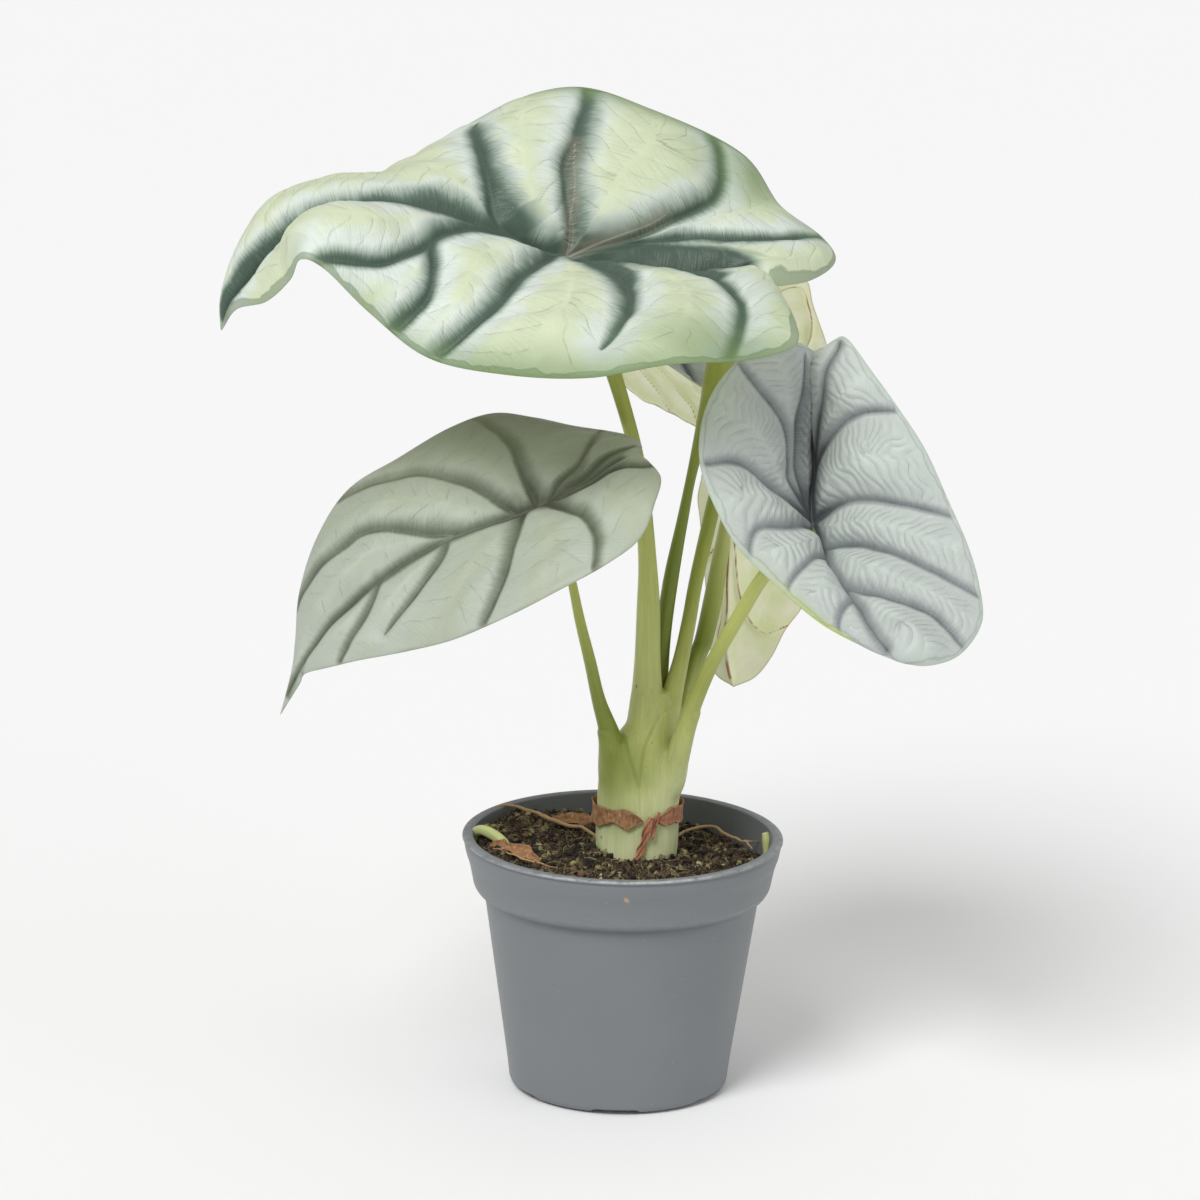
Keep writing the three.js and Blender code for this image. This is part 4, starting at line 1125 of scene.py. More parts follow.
BACK_PLAN = {
    "coarser": 1, "reach": 3.0, "lean": 0.2, "left_soft": (), "widths": {}, "rungs": 4.5, "pucker": 0.8,
    "core": 0.2, "feather": 0.3, "hairlines": 0.15, "fine": 0.12, "margin": 1.0, "wander": 0.12,
    "warm": [], "shade": [], "wedge": None, "creases": [],
}
BLADE_PLANS = {
    "top": {
        "form": TOP_BLADE, "rows": 360, "columns": 180, "coarser": 2, "reach": 7.4, "lean": 0.3,
        "left_soft": (2,), "widths": {0: 1.15, 1: 1.2, 4: 0.9, 7: 0.9, 8: 0.7, -2: 1.0, -1: 1.5},
        "rungs": 9.0, "pucker": 0.7, "core": 0.25, "feather": 0.36, "hairlines": 0.3, "fine": 0.22,
        "margin": 1.3, "wander": 0.08,
        # The warm spots on the second edge, at share 0.9 and 1, are partly the olive edge and partly painted
        # shade where that edge curls under
        "warm": [
            (6.2, -1, 3.4, 0.09, 0.9), (4.7, -1, 0.8, 0.26, 0.85), (3.2, -1.0, 1.0, 0.12, 0.6),
            (6.4, 1, 2.8, 0.11, 0.85), (4.2, 1, 1.1, 0.24, 0.9), (2.0, 0.9, 1.4, 0.3, 0.3),
        ],
        # The spots at rib 13.4 over the tip and at rib 9.0 by the second edge are painted shade, where the
        # blade turns down away from the light
        "shade": [
            (5.1, -0.02, 0.7, 0.10, 0.6), (7.2, -0.12, 0.7, 0.14, 0.5), (8.7, -0.2, 0.9, 0.22, 0.55),
            (13.4, 0, 2.4, 0.9, 0.85), (9.0, 0.95, 1.4, 0.2, 0.4), (4.3, 0.2, 0.9, 0.2, 1.0),
        ],
        "wedge": {
            "strength": 1.15, "halves": [(0.6, 0.6), (1.1, 0.55), (2.2, 0.36), (3.0, 0.22), (4.4, 0.1)],
        },
        "creases": [
            [(5.0, 0), (5.7, -0.15), (6.08, -0.29), (6.4, -0.44), (6.61, -0.6)],
            [(5.0, 0), (4.83, -0.09), (4.66, -0.2), (4.6, -0.33), (4.66, -0.43)],
        ],
    },
    "left": {
        "form": LEFT_BLADE, "rows": 294, "columns": 132, "coarser": 3, "reach": 4.0, "lean": 0.5,
        "left_soft": (5, 6), "widths": {-2: 1.0, -1: 1.2, 8: 0.75, 9: 0.6}, "rungs": 9.0, "pucker": 0.25,
        "core": 0.04, "feather": 0.3, "hairlines": 0.08, "fine": 0.12, "margin": 0.0, "wander": 0.08,
        "warm": [(5.5, -1.0, 3.6, 0.55, 1.0), (3.2, -0.5, 2.0, 0.5, 0.55)],
        "shade": [(5.0, 0.0, 1.2, 0.18, 0.45)],
        "wedge": {"strength": 0.25, "halves": [(0.6, 0.5), (3.0, 0.3), (4.8, 0.15)]}, "creases": [],
    },
    "right": {
        "form": RIGHT_BLADE, "rows": 312, "columns": 162, "coarser": 3, "reach": 3.7, "lean": 0.4,
        "left_soft": (5, 6, 7, 8), "widths": {-1: 1.3, 0: 1.2, 1: 1.1, -2: 1.1, 9: 0.7, 10: 0.7},
        "rungs": 3.6, "pucker": 1.5, "core": 0.02, "feather": 0.35, "hairlines": 0.12, "fine": 0.04,
        "margin": 1.1, "wander": 0.26, "warm": [(10.6, -1.0, 1.5, 0.14, 1.0)],
        "shade": [(5.8, 0.0, 0.8, 0.2, 0.5)],
        "wedge": {"strength": 0.3, "halves": [(0.6, 0.4), (2.0, 0.34), (4.0, 0.22), (5.8, 0.12)]},
        "creases": [],
    },
    "back_high": dict(BACK_PLAN, form=BACK_HIGH_BLADE, rows=130, columns=76),
    "back_left": dict(BACK_PLAN, form=BACK_LEFT_BLADE, rows=148, columns=90),
    "back_low": dict(BACK_PLAN, form=BACK_LOW_BLADE, rows=140, columns=76),
}


def upper_material(name, plan, colours):
    values = {label: tuple(getattr(colours, label.lower())) for label in UPPER_COLOURS}
    values |= {label: plan[key] for label, key in UPPER_NUMBERS.items()}
    material, shader = look_material(f"{name}_upper_face", "Silver Upper Face", upper_face_group, values)
    shader.inputs["Sheen Weight"].default_value = 0.08
    return material


def underside_material(name, settings):
    values = {
        "Cream": tuple(settings.underside), "Tint": tuple(settings.under_tint),
        "Vein": tuple(settings.under_vein),
    }
    return look_material(f"{name}_underside", "Pale Underside", underside_group, values, 0.8)[0]


class ALOCASIA_OT_blades(bpy.types.Operator):
    """Make the six blades with their veins, puckers and undersides"""

    bl_idname = "alocasia.blades"
    bl_label = "Make the Blades"

    def execute(self, context):
        settings = context.scene.alocasia_blades
        looks = {
            "top": context.scene.alocasia_top_colours,
            "left": context.scene.alocasia_left_colours,
        }
        for name, plan in BLADE_PLANS.items():
            points, faces, sides, attributes = blade_mesh(Blade(**plan["form"]), plan, settings)
            colours = looks.get(name, context.scene.alocasia_right_colours)
            materials = [upper_material(name, plan, colours), underside_material(name, settings)]
            make_piece(
                f"{name}_leaf_blade", points, faces, materials, attributes,
                (f"blade_{name}",), sides,
            )
        return {"FINISHED"}


# Stalks

# Each stalk's route, and its colour on the way: height, share of the pale and share of the deep green

STALK_SAMPLES = 120
STALK_PLANS = {
    "top": (TOP_STALK, [(128, 0.2, 0), (160, 0.25, 0), (205, 0.1, 0), (240, 0, 0.25), (320, 0, 0.4)]),
    "left": (LEFT_STALK, [(120, 0, 0.6), (136, 0, 0.75), (165, 0, 0.55), (190, 0, 0.25), (232, 0.1, 0.2)]),
    "right": (RIGHT_STALK, [(118, 0.5, 0), (135, 0.25, 0.1), (160, 0, 0.3), (185, 0.1, 0), (226, 0.2, 0)]),
    # The back high stalk's deep green is partly its own colour and partly painted shade, as it stands behind
    # the blades
    "back_high": (BACK_HIGH_STALK, [(131, 0, 0.4), (165, 0, 0.8), (200, 0, 1), (240, 0, 0.8), (288, 0, 0.3)]),
    "back_left": (
        BACK_LEFT_STALK, [(132, 0.3, 0), (160, 0.1, 0), (185, 0, 0.3), (215, 0, 0.5), (242, 0, 0.3)],
    ),
    "back_low": (
        BACK_LOW_STALK, [(131, 0.4, 0), (152, 0.2, 0.2), (168, 0, 0.9), (180, 0, 0.5), (214, 0.3, 0)],
    ),
}


def stem_colour(settings, pale, deep):
    """The stems' green, moved by two shares toward the pale foot and toward the deep green"""
    fresh, light, dark = (np.array(value[:]) for value in (settings.fresh, settings.pale, settings.deep))
    pale, deep = np.asarray(pale)[..., None], np.asarray(deep)[..., None]
    return fresh + (light - fresh) * pale + (dark - fresh) * deep


def tint_by_height(heights, stops, settings):
    """Colour at each height, smoothly between the stops"""
    levels, pale, deep = np.array(stops, float).T
    return stem_colour(settings, np.interp(heights, levels, pale), np.interp(heights, levels, deep))


def stem_material(name, streaks, dots):
    values = {"Streaks": streaks, "Dots": dots}
    material, shader = look_material(name, "Fleshy Stem", stem_group, values)
    shader.inputs["Subsurface Weight"].default_value = 0.12
    shader.inputs["Subsurface Radius"].default_value = (0.003, 0.004, 0.0015)
    shader.inputs["Subsurface Scale"].default_value = 1.0
    return material


def stalk_shape(angle, share):
    """Faint ribs round a stalk and a shallow channel on its front"""
    ribs = 0.012 * np.sin(9 * angle + 2 * share) + 0.008 * np.sin(16 * angle + 1.0)
    channel = 0.05 * np.exp(-(((angle - 4.4 + math.pi) % (2 * math.pi) - math.pi) / 0.35) ** 2)
    return 1 + ribs - channel * (1 - share)


class ALOCASIA_OT_stalks(bpy.types.Operator):
    """Make the six leaf stalks"""

    bl_idname = "alocasia.stalks"
    bl_label = "Make the Stalks"

    def execute(self, context):
        settings = context.scene.alocasia_stalks
        material = stem_material("leaf_stalk", 0.35, 0.03)
        for name, (route, stops) in STALK_PLANS.items():
            line = sampled(route, STALK_SAMPLES)
            to_end = arc_lengths(line[::-1, :3])[::-1] - 1.2
            line = line[to_end > 0.02]
            to_end = to_end[to_end > 0.02]
            rounding = np.clip(to_end / line[:, 3], 0, 1)
            radii = line[:, 3] * np.sqrt(rounding * (2 - rounding))
            radii *= 0.7 + 0.3 * smooth(arc_lengths(line[:, :3]), 2, 16)
            points, faces, grain = tube(line[:, :3], radii, 32, stalk_shape)
            tint = tint_by_height(points[:, 2], stops, settings)
            make_piece(
                f"{name}_leaf_stalk", points, faces, [material],
                {"grain": grain, "tint": tint}, (f"stalk_{name}",),
            )
        return {"FINISHED"}


# Crown

# Greener places on the crown: where, how far they reach in mm, and how strong. The ones on the front by the
# left stalk's foot are partly painted shade of the fold there.

BLUSHES_AND_PAINTED_SHADE = [
    ((-4, -12, 130), 8, 0.85), ((-6, -10, 118), 8, 0.7), ((1, -14, 124), 7, 0.55),
    ((-4, -12, 106), 7, 0.4), ((8, -11, 122), 5, 0.3), ((17, -12, 134), 8, 0.35),
    ((20, 8, 128), 8, 0.5), ((-6, 8, 126), 8, 0.6),
]

# Front edges of the two outer sheaths that wrap the crown, as x and height, from the stalk down, and how
# far these sheaths stand out in mm

LEFT_SHEATH_EDGE = [
    (-3.5, 141), (-1.1, 137.9), (0.5, 135.5), (2.4, 129), (4.6, 122), (5.8, 117), (6.1, 100),
]
RIGHT_SHEATH_EDGE = [
    (18.3, 149), (12.7, 145.5), (9.5, 139.5), (7.2, 133.8), (6.4, 127), (5.9, 121), (6.1, 100),
]
SHEATH_STEP = 1.1

# How long the foot of each stalk is inside the crown's mesh, in mm, and how far it stands out from the stalk

STALK_FEET = [
    (TOP_STALK, 44), (LEFT_STALK, 36), (RIGHT_STALK, 44), (BACK_HIGH_STALK, 34), (BACK_LEFT_STALK, 34),
    (BACK_LOW_STALK, 30),
]
FOOT_EXTRA = 0.3
ROOT_DEPTH = 14
CROWN_VOXEL = 0.52


def loft_rings(rings, sides, steps):
    """A closed solid through elliptical rings given as middle x and y, half widths and height"""
    table = sampled(rings, steps)
    angles = full_turn(sides)
    points = [
        (x + a * math.cos(turn), y + b * math.sin(turn), z)
        for x, y, a, b, z in table for turn in angles
    ]
    return np.array(points), ring_faces(steps, sides)


def joined_solid(heap, voxel, smoothing):
    """One watertight mesh from overlapping solids, with the joins rounded"""
    holder = temporary_object("overlapping solids", heap.joined()[0], heap.faces)
    remesh = holder.modifiers.new("join", "REMESH")
    remesh.mode = "VOXEL"
    remesh.voxel_size = voxel * MM
    relax = holder.modifiers.new("round", "SMOOTH")
    relax.iterations = smoothing
    relax.factor = 0.5
    return modified_form(holder)


def relaxed(points, faces, weights, rounds):
    """The points, each moved again and again toward the middle of its neighbours by its own weight"""
    quads = np.array(faces)
    ends = np.vstack([quads[:, [k, (k + 1) % 4]] for k in range(4)])
    count = np.maximum(np.bincount(ends[:, 0], minlength=len(points)), 1)
    for _ in range(rounds):
        sums = [np.bincount(ends[:, 0], points[ends[:, 1], axis], len(points)) for axis in range(3)]
        points = points + (np.stack(sums, axis=1) / count[:, None] - points) * weights[:, None]
    return points


def stalk_foot(route, length):
    """The foot of a stalk, from deep in the crown to where it sinks slowly into the stalk itself"""
    first, second = np.array(route[0], float), np.array(route[1], float)
    root = first - (second - first) * ROOT_DEPTH / np.linalg.norm(second[:3] - first[:3])
    root[:2] += (np.array((5.5, 0)) - root[:2]) * 0.4
    root[3] = 0.55 * first[3]
    line = sampled(np.vstack([root, route]), 180)
    share = arc_lengths(line[:, :3]) / (length + ROOT_DEPTH)
    line, share = line[share <= 1], share[share <= 1]
    radii = line[:, 3] + FOOT_EXTRA - (FOOT_EXTRA + 0.45) * smooth(share, 0.5, 1.0)
    return tube(line[:, :3], radii, 24)[:2]


def edge_at(edge, heights):
    """Where a sheath's front edge is at each height"""
    x, z = np.array(edge).T
    return np.interp(heights, z[::-1], x[::-1])


def wrapped_sheaths(points):
    """Moves the crown's front out where the two outer sheaths lie over its middle"""
    x, y, z = points.T
    left = smooth(edge_at(LEFT_SHEATH_EDGE, z) - x, -0.2, 0.3) * smooth(z, 143, 139)
    right = smooth(x - edge_at(RIGHT_SHEATH_EDGE, z), -0.2, 0.3) * smooth(z, 152, 148)
    front = smooth(-y, 0, 5)
    low = smooth(z, 100, 116)
    step = SHEATH_STEP * np.maximum(left, right) * front * low
    middle = np.stack([5.6 + 0 * x, 0 * y, z], axis=1)
    return points + unit(points - middle) * step[:, None]


def nearest_stalk_tint(points, settings):
    """Colour of the stalk that is nearest to each point, and how far outside that stalk the point is"""
    best = np.full(len(points), 99.0)
    tint = np.zeros((len(points), 4))
    for route, stops in STALK_PLANS.values():
        line = sampled(route, STALK_SAMPLES)
        distance, place = nearest_on_line(points, line[:, :3])
        outside = distance - np.interp(place, np.arange(len(line)), line[:, 3])
        closer = outside < best
        tint[closer] = tint_by_height(points[closer, 2], stops, settings)
        best = np.minimum(best, outside)
    return tint, best


def crown_tint(points, settings):
    """Pale foot, greener blushes that are partly painted shade, toward the top the colour of each stalk, and
    painted shade along the sheaths' front edges
    """
    stops = [(78, 1.0, 0), (96, 0.95, 0), (112, 0.62, 0), (128, 0.2, 0)]
    tint = tint_by_height(points[:, 2], stops, settings)
    right_side = smooth(points[:, 0], 8, 20) * smooth(points[:, 2], 140, 120)
    tint += (np.array(settings.pale[:]) - tint) * 0.5 * right_side[:, None]
    # Greener blushes; the front ones by the left stalk's foot are partly painted shade of the fold
    for place, reach, strength in BLUSHES_AND_PAINTED_SHADE:
        share = strength * np.exp(-(np.linalg.norm(points - place, axis=1) / reach) ** 2)
        tint += (stem_colour(settings, 0.0, 0.8) - tint) * share[:, None]
    own, outside = nearest_stalk_tint(points, settings)
    share = smooth(points[:, 2], 126, 142) * smooth(outside, 3.0, 0.6)
    tint = tint + (own - tint) * share[:, None]
    x, y, z = points.T
    # Painted shade: a thin dark line along the front edge of each outer sheath
    for edge, top in ((LEFT_SHEATH_EDGE, 141), (RIGHT_SHEATH_EDGE, 150)):
        line = np.exp(-((x - edge_at(edge, z)) / 0.6) ** 2) * smooth(-y, 2, 6) * smooth(z, 114, 128)
        tint += (stem_colour(settings, 0.0, 1.0) - tint) * (0.3 * line * smooth(z, top, top - 3))[:, None]
    return tint


class ALOCASIA_OT_crown(bpy.types.Operator):
    """Make the swollen crown where the stalks' sheaths join"""

    bl_idname = "alocasia.crown"
    bl_label = "Make the Crown"

    def execute(self, context):
        settings = context.scene.alocasia_stalks
        heap = Heap()
        heap.add(*loft_rings(CROWN_RINGS, 48, 60))
        for route, length in STALK_FEET:
            heap.add(*stalk_foot(route, length))
        points, faces = joined_solid(heap, CROWN_VOXEL, 6)
        points = relaxed(points, faces, 0.6 * smooth(points[:, 2], 150, 128), 60)
        points = wrapped_sheaths(points)
        tint = crown_tint(points, settings)
        material = stem_material("crown_flesh", 0.3, 0.06)
        make_piece(
            "crown_of_sheaths", points, faces, [material], {"grain": points, "tint": tint},
            ("crown",),
        )
        return {"FINISHED"}


# Dry sheath and dead leaf remains

def sheet_solid(grid, thickness):
    """A thin closed sheet from a grid of points, rows by columns"""
    rows, columns = grid.shape[:2]
    down = np.gradient(grid, axis=0)
    across = np.gradient(grid, axis=1)
    normal = unit(np.cross(down, across))
    outer = (grid + normal * thickness / 2).reshape(-1, 3)
    inner = (grid - normal * thickness / 2).reshape(-1, 3)
    count = rows * columns
    faces = []
    span = columns - 1
    for i in range(rows - 1):
        for j in range(span):
            a, b = i * columns + j, i * columns + j + 1
            faces.append([a, a + columns, b + columns, b])
            faces.append([b + count, b + columns + count, a + columns + count, a + count])
    for i, flipped in ((0, False), (rows - 1, True)):
        for j in range(span):
            a, b = i * columns + j, i * columns + j + 1
            face = [a, b, b + count, a + count]
            faces.append(face[::-1] if flipped else face)
    for j, flipped in ((0, True), (columns - 1, False)):
        for i in range(rows - 1):
            a, b = i * columns + j, (i + 1) * columns + j
            face = [a, b, b + count, a + count]
            faces.append(face[::-1] if flipped else face)
    return np.vstack([outer, inner]), faces


def sheath_band(start, end, columns, seed):
    """Part of the torn ring of dead sheath, between two angles in degrees, crumpled and ragged"""
    rows = 20
    turn = np.radians(np.linspace(start, end, columns))[None, :]
    share = np.linspace(0, 1, rows)[:, None]
    flat = np.stack([40 * np.cos(turn[0]), 40 * np.sin(turn[0]), 0 * turn[0]], axis=-1)
    low_edge = 0.9 * waves(flat, 30, seed) + 0.35 * waves(flat, 9, seed + 1)
    top_edge = 0.5 * waves(flat, 34, seed + 2) + 0.2 * waves(flat, 9, seed + 3)
    ends = np.minimum(np.arange(columns), np.arange(columns)[::-1]) / 20
    taper = np.clip(ends, 0, 1) ** 0.6
    middle = (SHEATH_BOTTOM + SHEATH_TOP) / 2
    bottom = middle - (middle - SHEATH_BOTTOM - 1.6 + low_edge) * taper
    top = middle + (SHEATH_TOP - middle + top_edge) * taper
    height = bottom + (top - bottom) * share
    across = (flat[:, 0], flat[:, 1], 14 * share)
    folds = np.stack([np.broadcast_to(part, (rows, columns)) for part in across], axis=-1)
    wrinkle = 0.2 * waves(folds, 17, seed + 4) + 0.09 * waves(folds, 6, seed + 5)
    curl = 0.35 * np.abs(2 * share - 1) ** 3
    extra = 1.35 + wrinkle + 0.2 * np.sin(4 * turn + seed) * share + curl
    grid = np.stack([
        5.4 + (15.3 + extra) * np.cos(turn), (12.7 + extra) * np.sin(turn), height + 0 * turn,
    ], axis=-1)
    return grid[::-1]


def torn_strip(route, seed):
    """A curled strip of paper along a route given as x, y, z and half width"""
    line = sampled(route, 60)
    tangents = unit(np.gradient(line[:, :3], axis=0))
    across = unit(np.cross(tangents, (0.15, -0.8, 0.6)))
    share = np.linspace(-1, 1, 13)[None, :]
    width = line[:, 3] * (1 + 0.3 * waves(line[:, :3], 5, seed))
    lift = np.cross(across, tangents)
    curl = 0.35 * line[:, 3][:, None] * share ** 2 + 0.25 * np.sin(5 * share + line[:, 2:3])
    grid = line[:, None, :3] + across[:, None, :] * (width[:, None] * share)[:, :, None]
    return grid + lift[:, None, :] * curl[:, :, None]


# Bands of the sheath as start and end angle in degrees, sample columns and tone; then loose strips

SHEATH_BANDS = [(-84, -268, 170, "dry"), (-64, 76, 140, "rust")]
SHEATH_STRIPS = [
    ([(10.5, -13.8, 108, 0.9), (9.2, -14.5, 104, 1.5), (8.0, -14.0, 99, 1.4), (6.6, -13.8, 95, 1.1),
      (5.2, -14.2, 91.5, 0.4)], "rust"),
    ([(13.5, -13.2, 110, 0.5), (12.2, -13.6, 107, 1.2), (11.4, -14.0, 103, 0.9),
      (11.0, -14.2, 99.5, 0.3)], "rust"),
    ([(-49.5, -6.6, 94, 0.6), (-46, -11, 95.2, 2.0), (-41, -16, 95.6, 2.6), (-36, -20, 95.0, 2.2),
      (-30.6, -23.6, 93.2, 0.7)], "dry"),
    ([(-26.6, 20.4, 96.5, 0.8), (-22, 19, 97.4, 1.9), (-17, 17, 97.6, 2.3), (-12.5, 15.8, 97.6, 2.0),
      (-8.6, 15, 98, 0.8)], "dry"),
]


class ALOCASIA_OT_dry_sheath(bpy.types.Operator):
    """Make the torn papery sheath round the crown and the scraps of it on the soil"""

    bl_idname = "alocasia.dry_sheath"
    bl_label = "Make the Dry Sheath"

    def execute(self, context):
        settings = context.scene.alocasia_stalks
        tones = {"dry": np.array(settings.dry[:]), "rust": np.array(settings.rust[:])}
        heap = Heap()
        for number, (start, end, columns, tone) in enumerate(SHEATH_BANDS):
            points, faces = sheet_solid(sheath_band(start, end, columns, 40 + 5 * number), 0.4)
            heap.add(points, faces, grain=points, tint=tones[tone])
        for number, (route, tone) in enumerate(SHEATH_STRIPS):
            points, faces = sheet_solid(torn_strip(route, 60 + number), 0.35)
            heap.add(points, faces, grain=points, tint=tones[tone])
        points, values = heap.joined()
        material, _ = look_material("dry_sheath_paper", "Dry Paper", dry_group, {})
        make_piece("papery_sheath", points, heap.faces, [material], values, ("dry_sheath",))
        return {"FINISHED"}


# Soil

def pot_inside(z):
    """Inner radius of the pot at a height, in mm"""
    wall = bpy.context.scene.alocasia_pot.wall / MM
    height = bpy.context.scene.alocasia_pot.height / MM
    if z > BAND_BOTTOM:
        return BAND_RADIUS - wall + (z - BAND_BOTTOM) * MOUTH_FLARE / (height - BAND_BOTTOM)
    share = (z - BODY_CORNER) / (BODY_TOP - BODY_CORNER)
    return BODY_CORNER_RADIUS - wall + share * (BODY_TOP_RADIUS - BODY_CORNER_RADIUS)


def soil_height(x, y):
    """Height of the soil: higher at the left, heaped round the crown and at the back left"""
    clods = np.sin(x * 0.31 + 1.2) * np.cos(y * 0.27) + 0.7 * np.sin(x * 0.12 - y * 0.38 + 2)
    heap = 3.5 * np.exp(-((x - 5) ** 2 + y * y) / 500)
    mound = 4 * np.exp(-((x + 38) ** 2 + (y - 22) ** 2) / 500)
    return SOIL_LEVEL - 0.075 * x - 0.02 * y + heap + mound + 0.8 * clods


def soil_surface(x, y):
    """Height of the soil with its crumbs and hollows"""
    flat = np.stack([x, y, 0 * x], axis=-1)
    lumps = 0.9 * waves(flat, 11, 11) + 0.7 * waves(flat, 5, 12) + 0.4 * waves(flat, 2.2, 13)
    return soil_height(x, y) + lumps


def soil_body(settings):
    """The filled pot of soil as one closed solid, fine on top"""
    sides = 300
    turn = full_turn(sides)
    radii = np.linspace(pot_inside(84) - 0.5, 1.2, 64)
    rings = []
    for z in (5.2, 10, 40, 78):
        reach = 36.6 if z < 10 else pot_inside(z) - 0.5
        rings.append(np.stack([reach * np.cos(turn), reach * np.sin(turn), 0 * turn + z], axis=-1))
    for reach in radii:
        x, y = reach * np.cos(turn), reach * np.sin(turn)
        rings.append(np.stack([x, y, soil_surface(x, y)], axis=-1))
    points = np.vstack(rings)
    tint = np.tile(np.array(settings.dark[:]), (len(points), 1))
    share = smooth(waves(points, 5, 21), -0.4, 1.0)[:, None] * 0.7
    tint += (np.array(settings.brown[:]) - tint) * share
    return points, ring_faces(len(rings), sides), tint


def crumb_shape(draw, subdivisions):
    """Points and faces of a rough ball, before it is turned and sized"""
    ball = bmesh.new()
    bmesh.ops.create_icosphere(ball, subdivisions=subdivisions, radius=1)
    points = np.array([vertex.co[:] for vertex in ball.verts])
    faces = [[vertex.index for vertex in face.verts] for face in ball.faces]
    ball.free()
    points = points * draw.uniform(0.45, 1.35, (len(points), 1))
    return points, faces


def random_turn(draw):
    return np.array(Matrix.Rotation(draw.uniform(0, 6.28), 3, Vector(draw.normal(size=3)).normalized()))


def scatter_place(draw):
    """A random place on the soil, outside the crown and inside the pot"""
    while True:
        reach = SCATTER_RADIUS * math.sqrt(draw.uniform())
        turn = draw.uniform(0, 2 * math.pi)
        x, y = reach * math.cos(turn), reach * math.sin(turn)
        if ((x - 5.2) / 15.2) ** 2 + (y / 12.6) ** 2 > 1:
            return x, y


def add_crumbs(heap, draw, count, sizes, tones, subdivisions):
    """Scatters rough crumbs, each with one of the tones, and with the last two only in patches"""
    for _ in range(count):
        points, faces = crumb_shape(draw, subdivisions)
        size = sizes[0] + (sizes[1] - sizes[0]) * draw.uniform() ** 2.5
        stretch = draw.uniform(0.45, 1.4, 3)
        x, y = scatter_place(draw)
        z = float(soil_surface(np.array(x), np.array(y))) + size * draw.uniform(-0.1, 0.6)
        placed = (points * stretch) @ random_turn(draw).T * size + (x, y, z)
        patch = float(waves(np.array([[x, y, 0.0]]), 14, 17)[0])
        usual = len(tones) - 2 if patch < 0.0 and len(tones) > 3 else len(tones)
        choice = draw.integers(usual)
        tone = np.append(tones[choice][:3] * draw.uniform(0.6, 1.3), 1.0)
        heap.add(placed, faces, tint=tone)


def add_fibres(heap, draw, count, tones):
    """Scatters short bent fibres of peat over the soil"""
    for _ in range(count):
        x, y = scatter_place(draw)
        length = draw.uniform(2.5, 11)
        heading = draw.uniform(0, 2 * math.pi)
        bend = draw.uniform(-0.9, 0.9)
        steps = np.linspace(0, 1, 6)
        px = x + length * steps * np.cos(heading + bend * steps)
        py = y + length * steps * np.sin(heading + bend * steps)
        if (px ** 2 + py ** 2).max() > SCATTER_RADIUS ** 2:
            continue
        lift = draw.uniform(0.2, 1.8) * np.sin(math.pi * steps)
        pz = soil_surface(px, py).mean() + 0.5 + lift
        radii = draw.uniform(0.09, 0.22) * (1.2 - steps)
        points, faces, _ = tube(np.stack([px, py, pz + 0 * px], axis=1), radii, 5)
        tone = tones[draw.integers(len(tones))] * draw.uniform(0.7, 1.2)
        heap.add(points, faces, tint=np.append(tone[:3], 1.0))


class ALOCASIA_OT_soil(bpy.types.Operator):
    """Make the potting soil with its crumbs, perlite and fibres"""

    bl_idname = "alocasia.soil"
    bl_label = "Make the Soil"

    def execute(self, context):
        settings = context.scene.alocasia_soil
        dark, brown, moss, pale = (
            np.array(value[:]) for value in (settings.dark, settings.brown, settings.moss, settings.pale)
        )
        draw = np.random.default_rng(5)
        values = {"Dark": tuple(settings.dark)}
        material, _ = look_material("peat_soil", "Peat Grains", soil_group, values)
        points, faces, tint = soil_body(settings)
        make_piece("potting_soil", points, faces, [material], {"tint": tint}, ("soil",))
        heap = Heap()
        add_crumbs(heap, draw, settings.crumbs, (0.3, 1.7), [dark, brown, brown, dark, moss, moss], 1)
        add_crumbs(heap, draw, settings.grit, (0.35, 1.1), [pale], 2)
        add_crumbs(heap, draw, settings.grit * 12, (0.2, 0.6), [brown, brown, pale, moss * 1.2], 1)
        add_fibres(heap, draw, settings.fibres, [brown, pale * 0.55, brown * 1.8, moss])
        points, values = heap.joined()
        make_piece("loose_peat", points, heap.faces, [material], values)
        return {"FINISHED"}


# Roots and dead leaf remains on the soil

ROOTS = [
    [(-54, 28.4, 95, 0.5), (-50, 32, 96.5, 0.6), (-44.7, 34.2, 97.4, 0.7), (-35.1, 27, 97.5, 0.9),
     (-27.4, 17.1, 97.4, 1.0), (-21, 13, 96.4, 0.9), (-14.9, 10.8, 96, 0.8), (-9, 8, 93, 0.8)],
    [(19, 18, 90, 0.6), (24.8, 28, 90.8, 0.7), (33.9, 30.5, 91.6, 0.8), (38.7, 25, 90.6, 0.7),
     (44.4, 19.6, 89.6, 0.6), (46.2, 16.5, 90.4, 0.6), (51.9, 20.1, 89, 0.3)],
    [(46.2, 16.5, 90.4, 0.5), (47.6, 14, 89.8, 0.5), (48.8, 11.3, 88.5, 0.3)],
    [(-48, -12, 94.5, 0.3), (-40, -22, 94.8, 0.4), (-30, -28, 93.5, 0.35), (-22, -27, 92.0, 0.25)],
]
CUT_STUBS = [
    [(-56.1, 5, 92, 1.7), (-55.2, 4.2, 95.4, 1.9), (-52.5, 1.5, 97.2, 2.0), (-48.5, -2, 96.6, 2.1),
     (-45, -4.5, 94.6, 2.1), (-42.8, -6.2, 92.0, 1.9)],
    [(54.2, 9.5, 86, 1.3), (54.5, 9.8, 89, 1.7), (54.2, 10.2, 93, 1.9), (53.4, 10.4, 95.6, 1.2)],
]


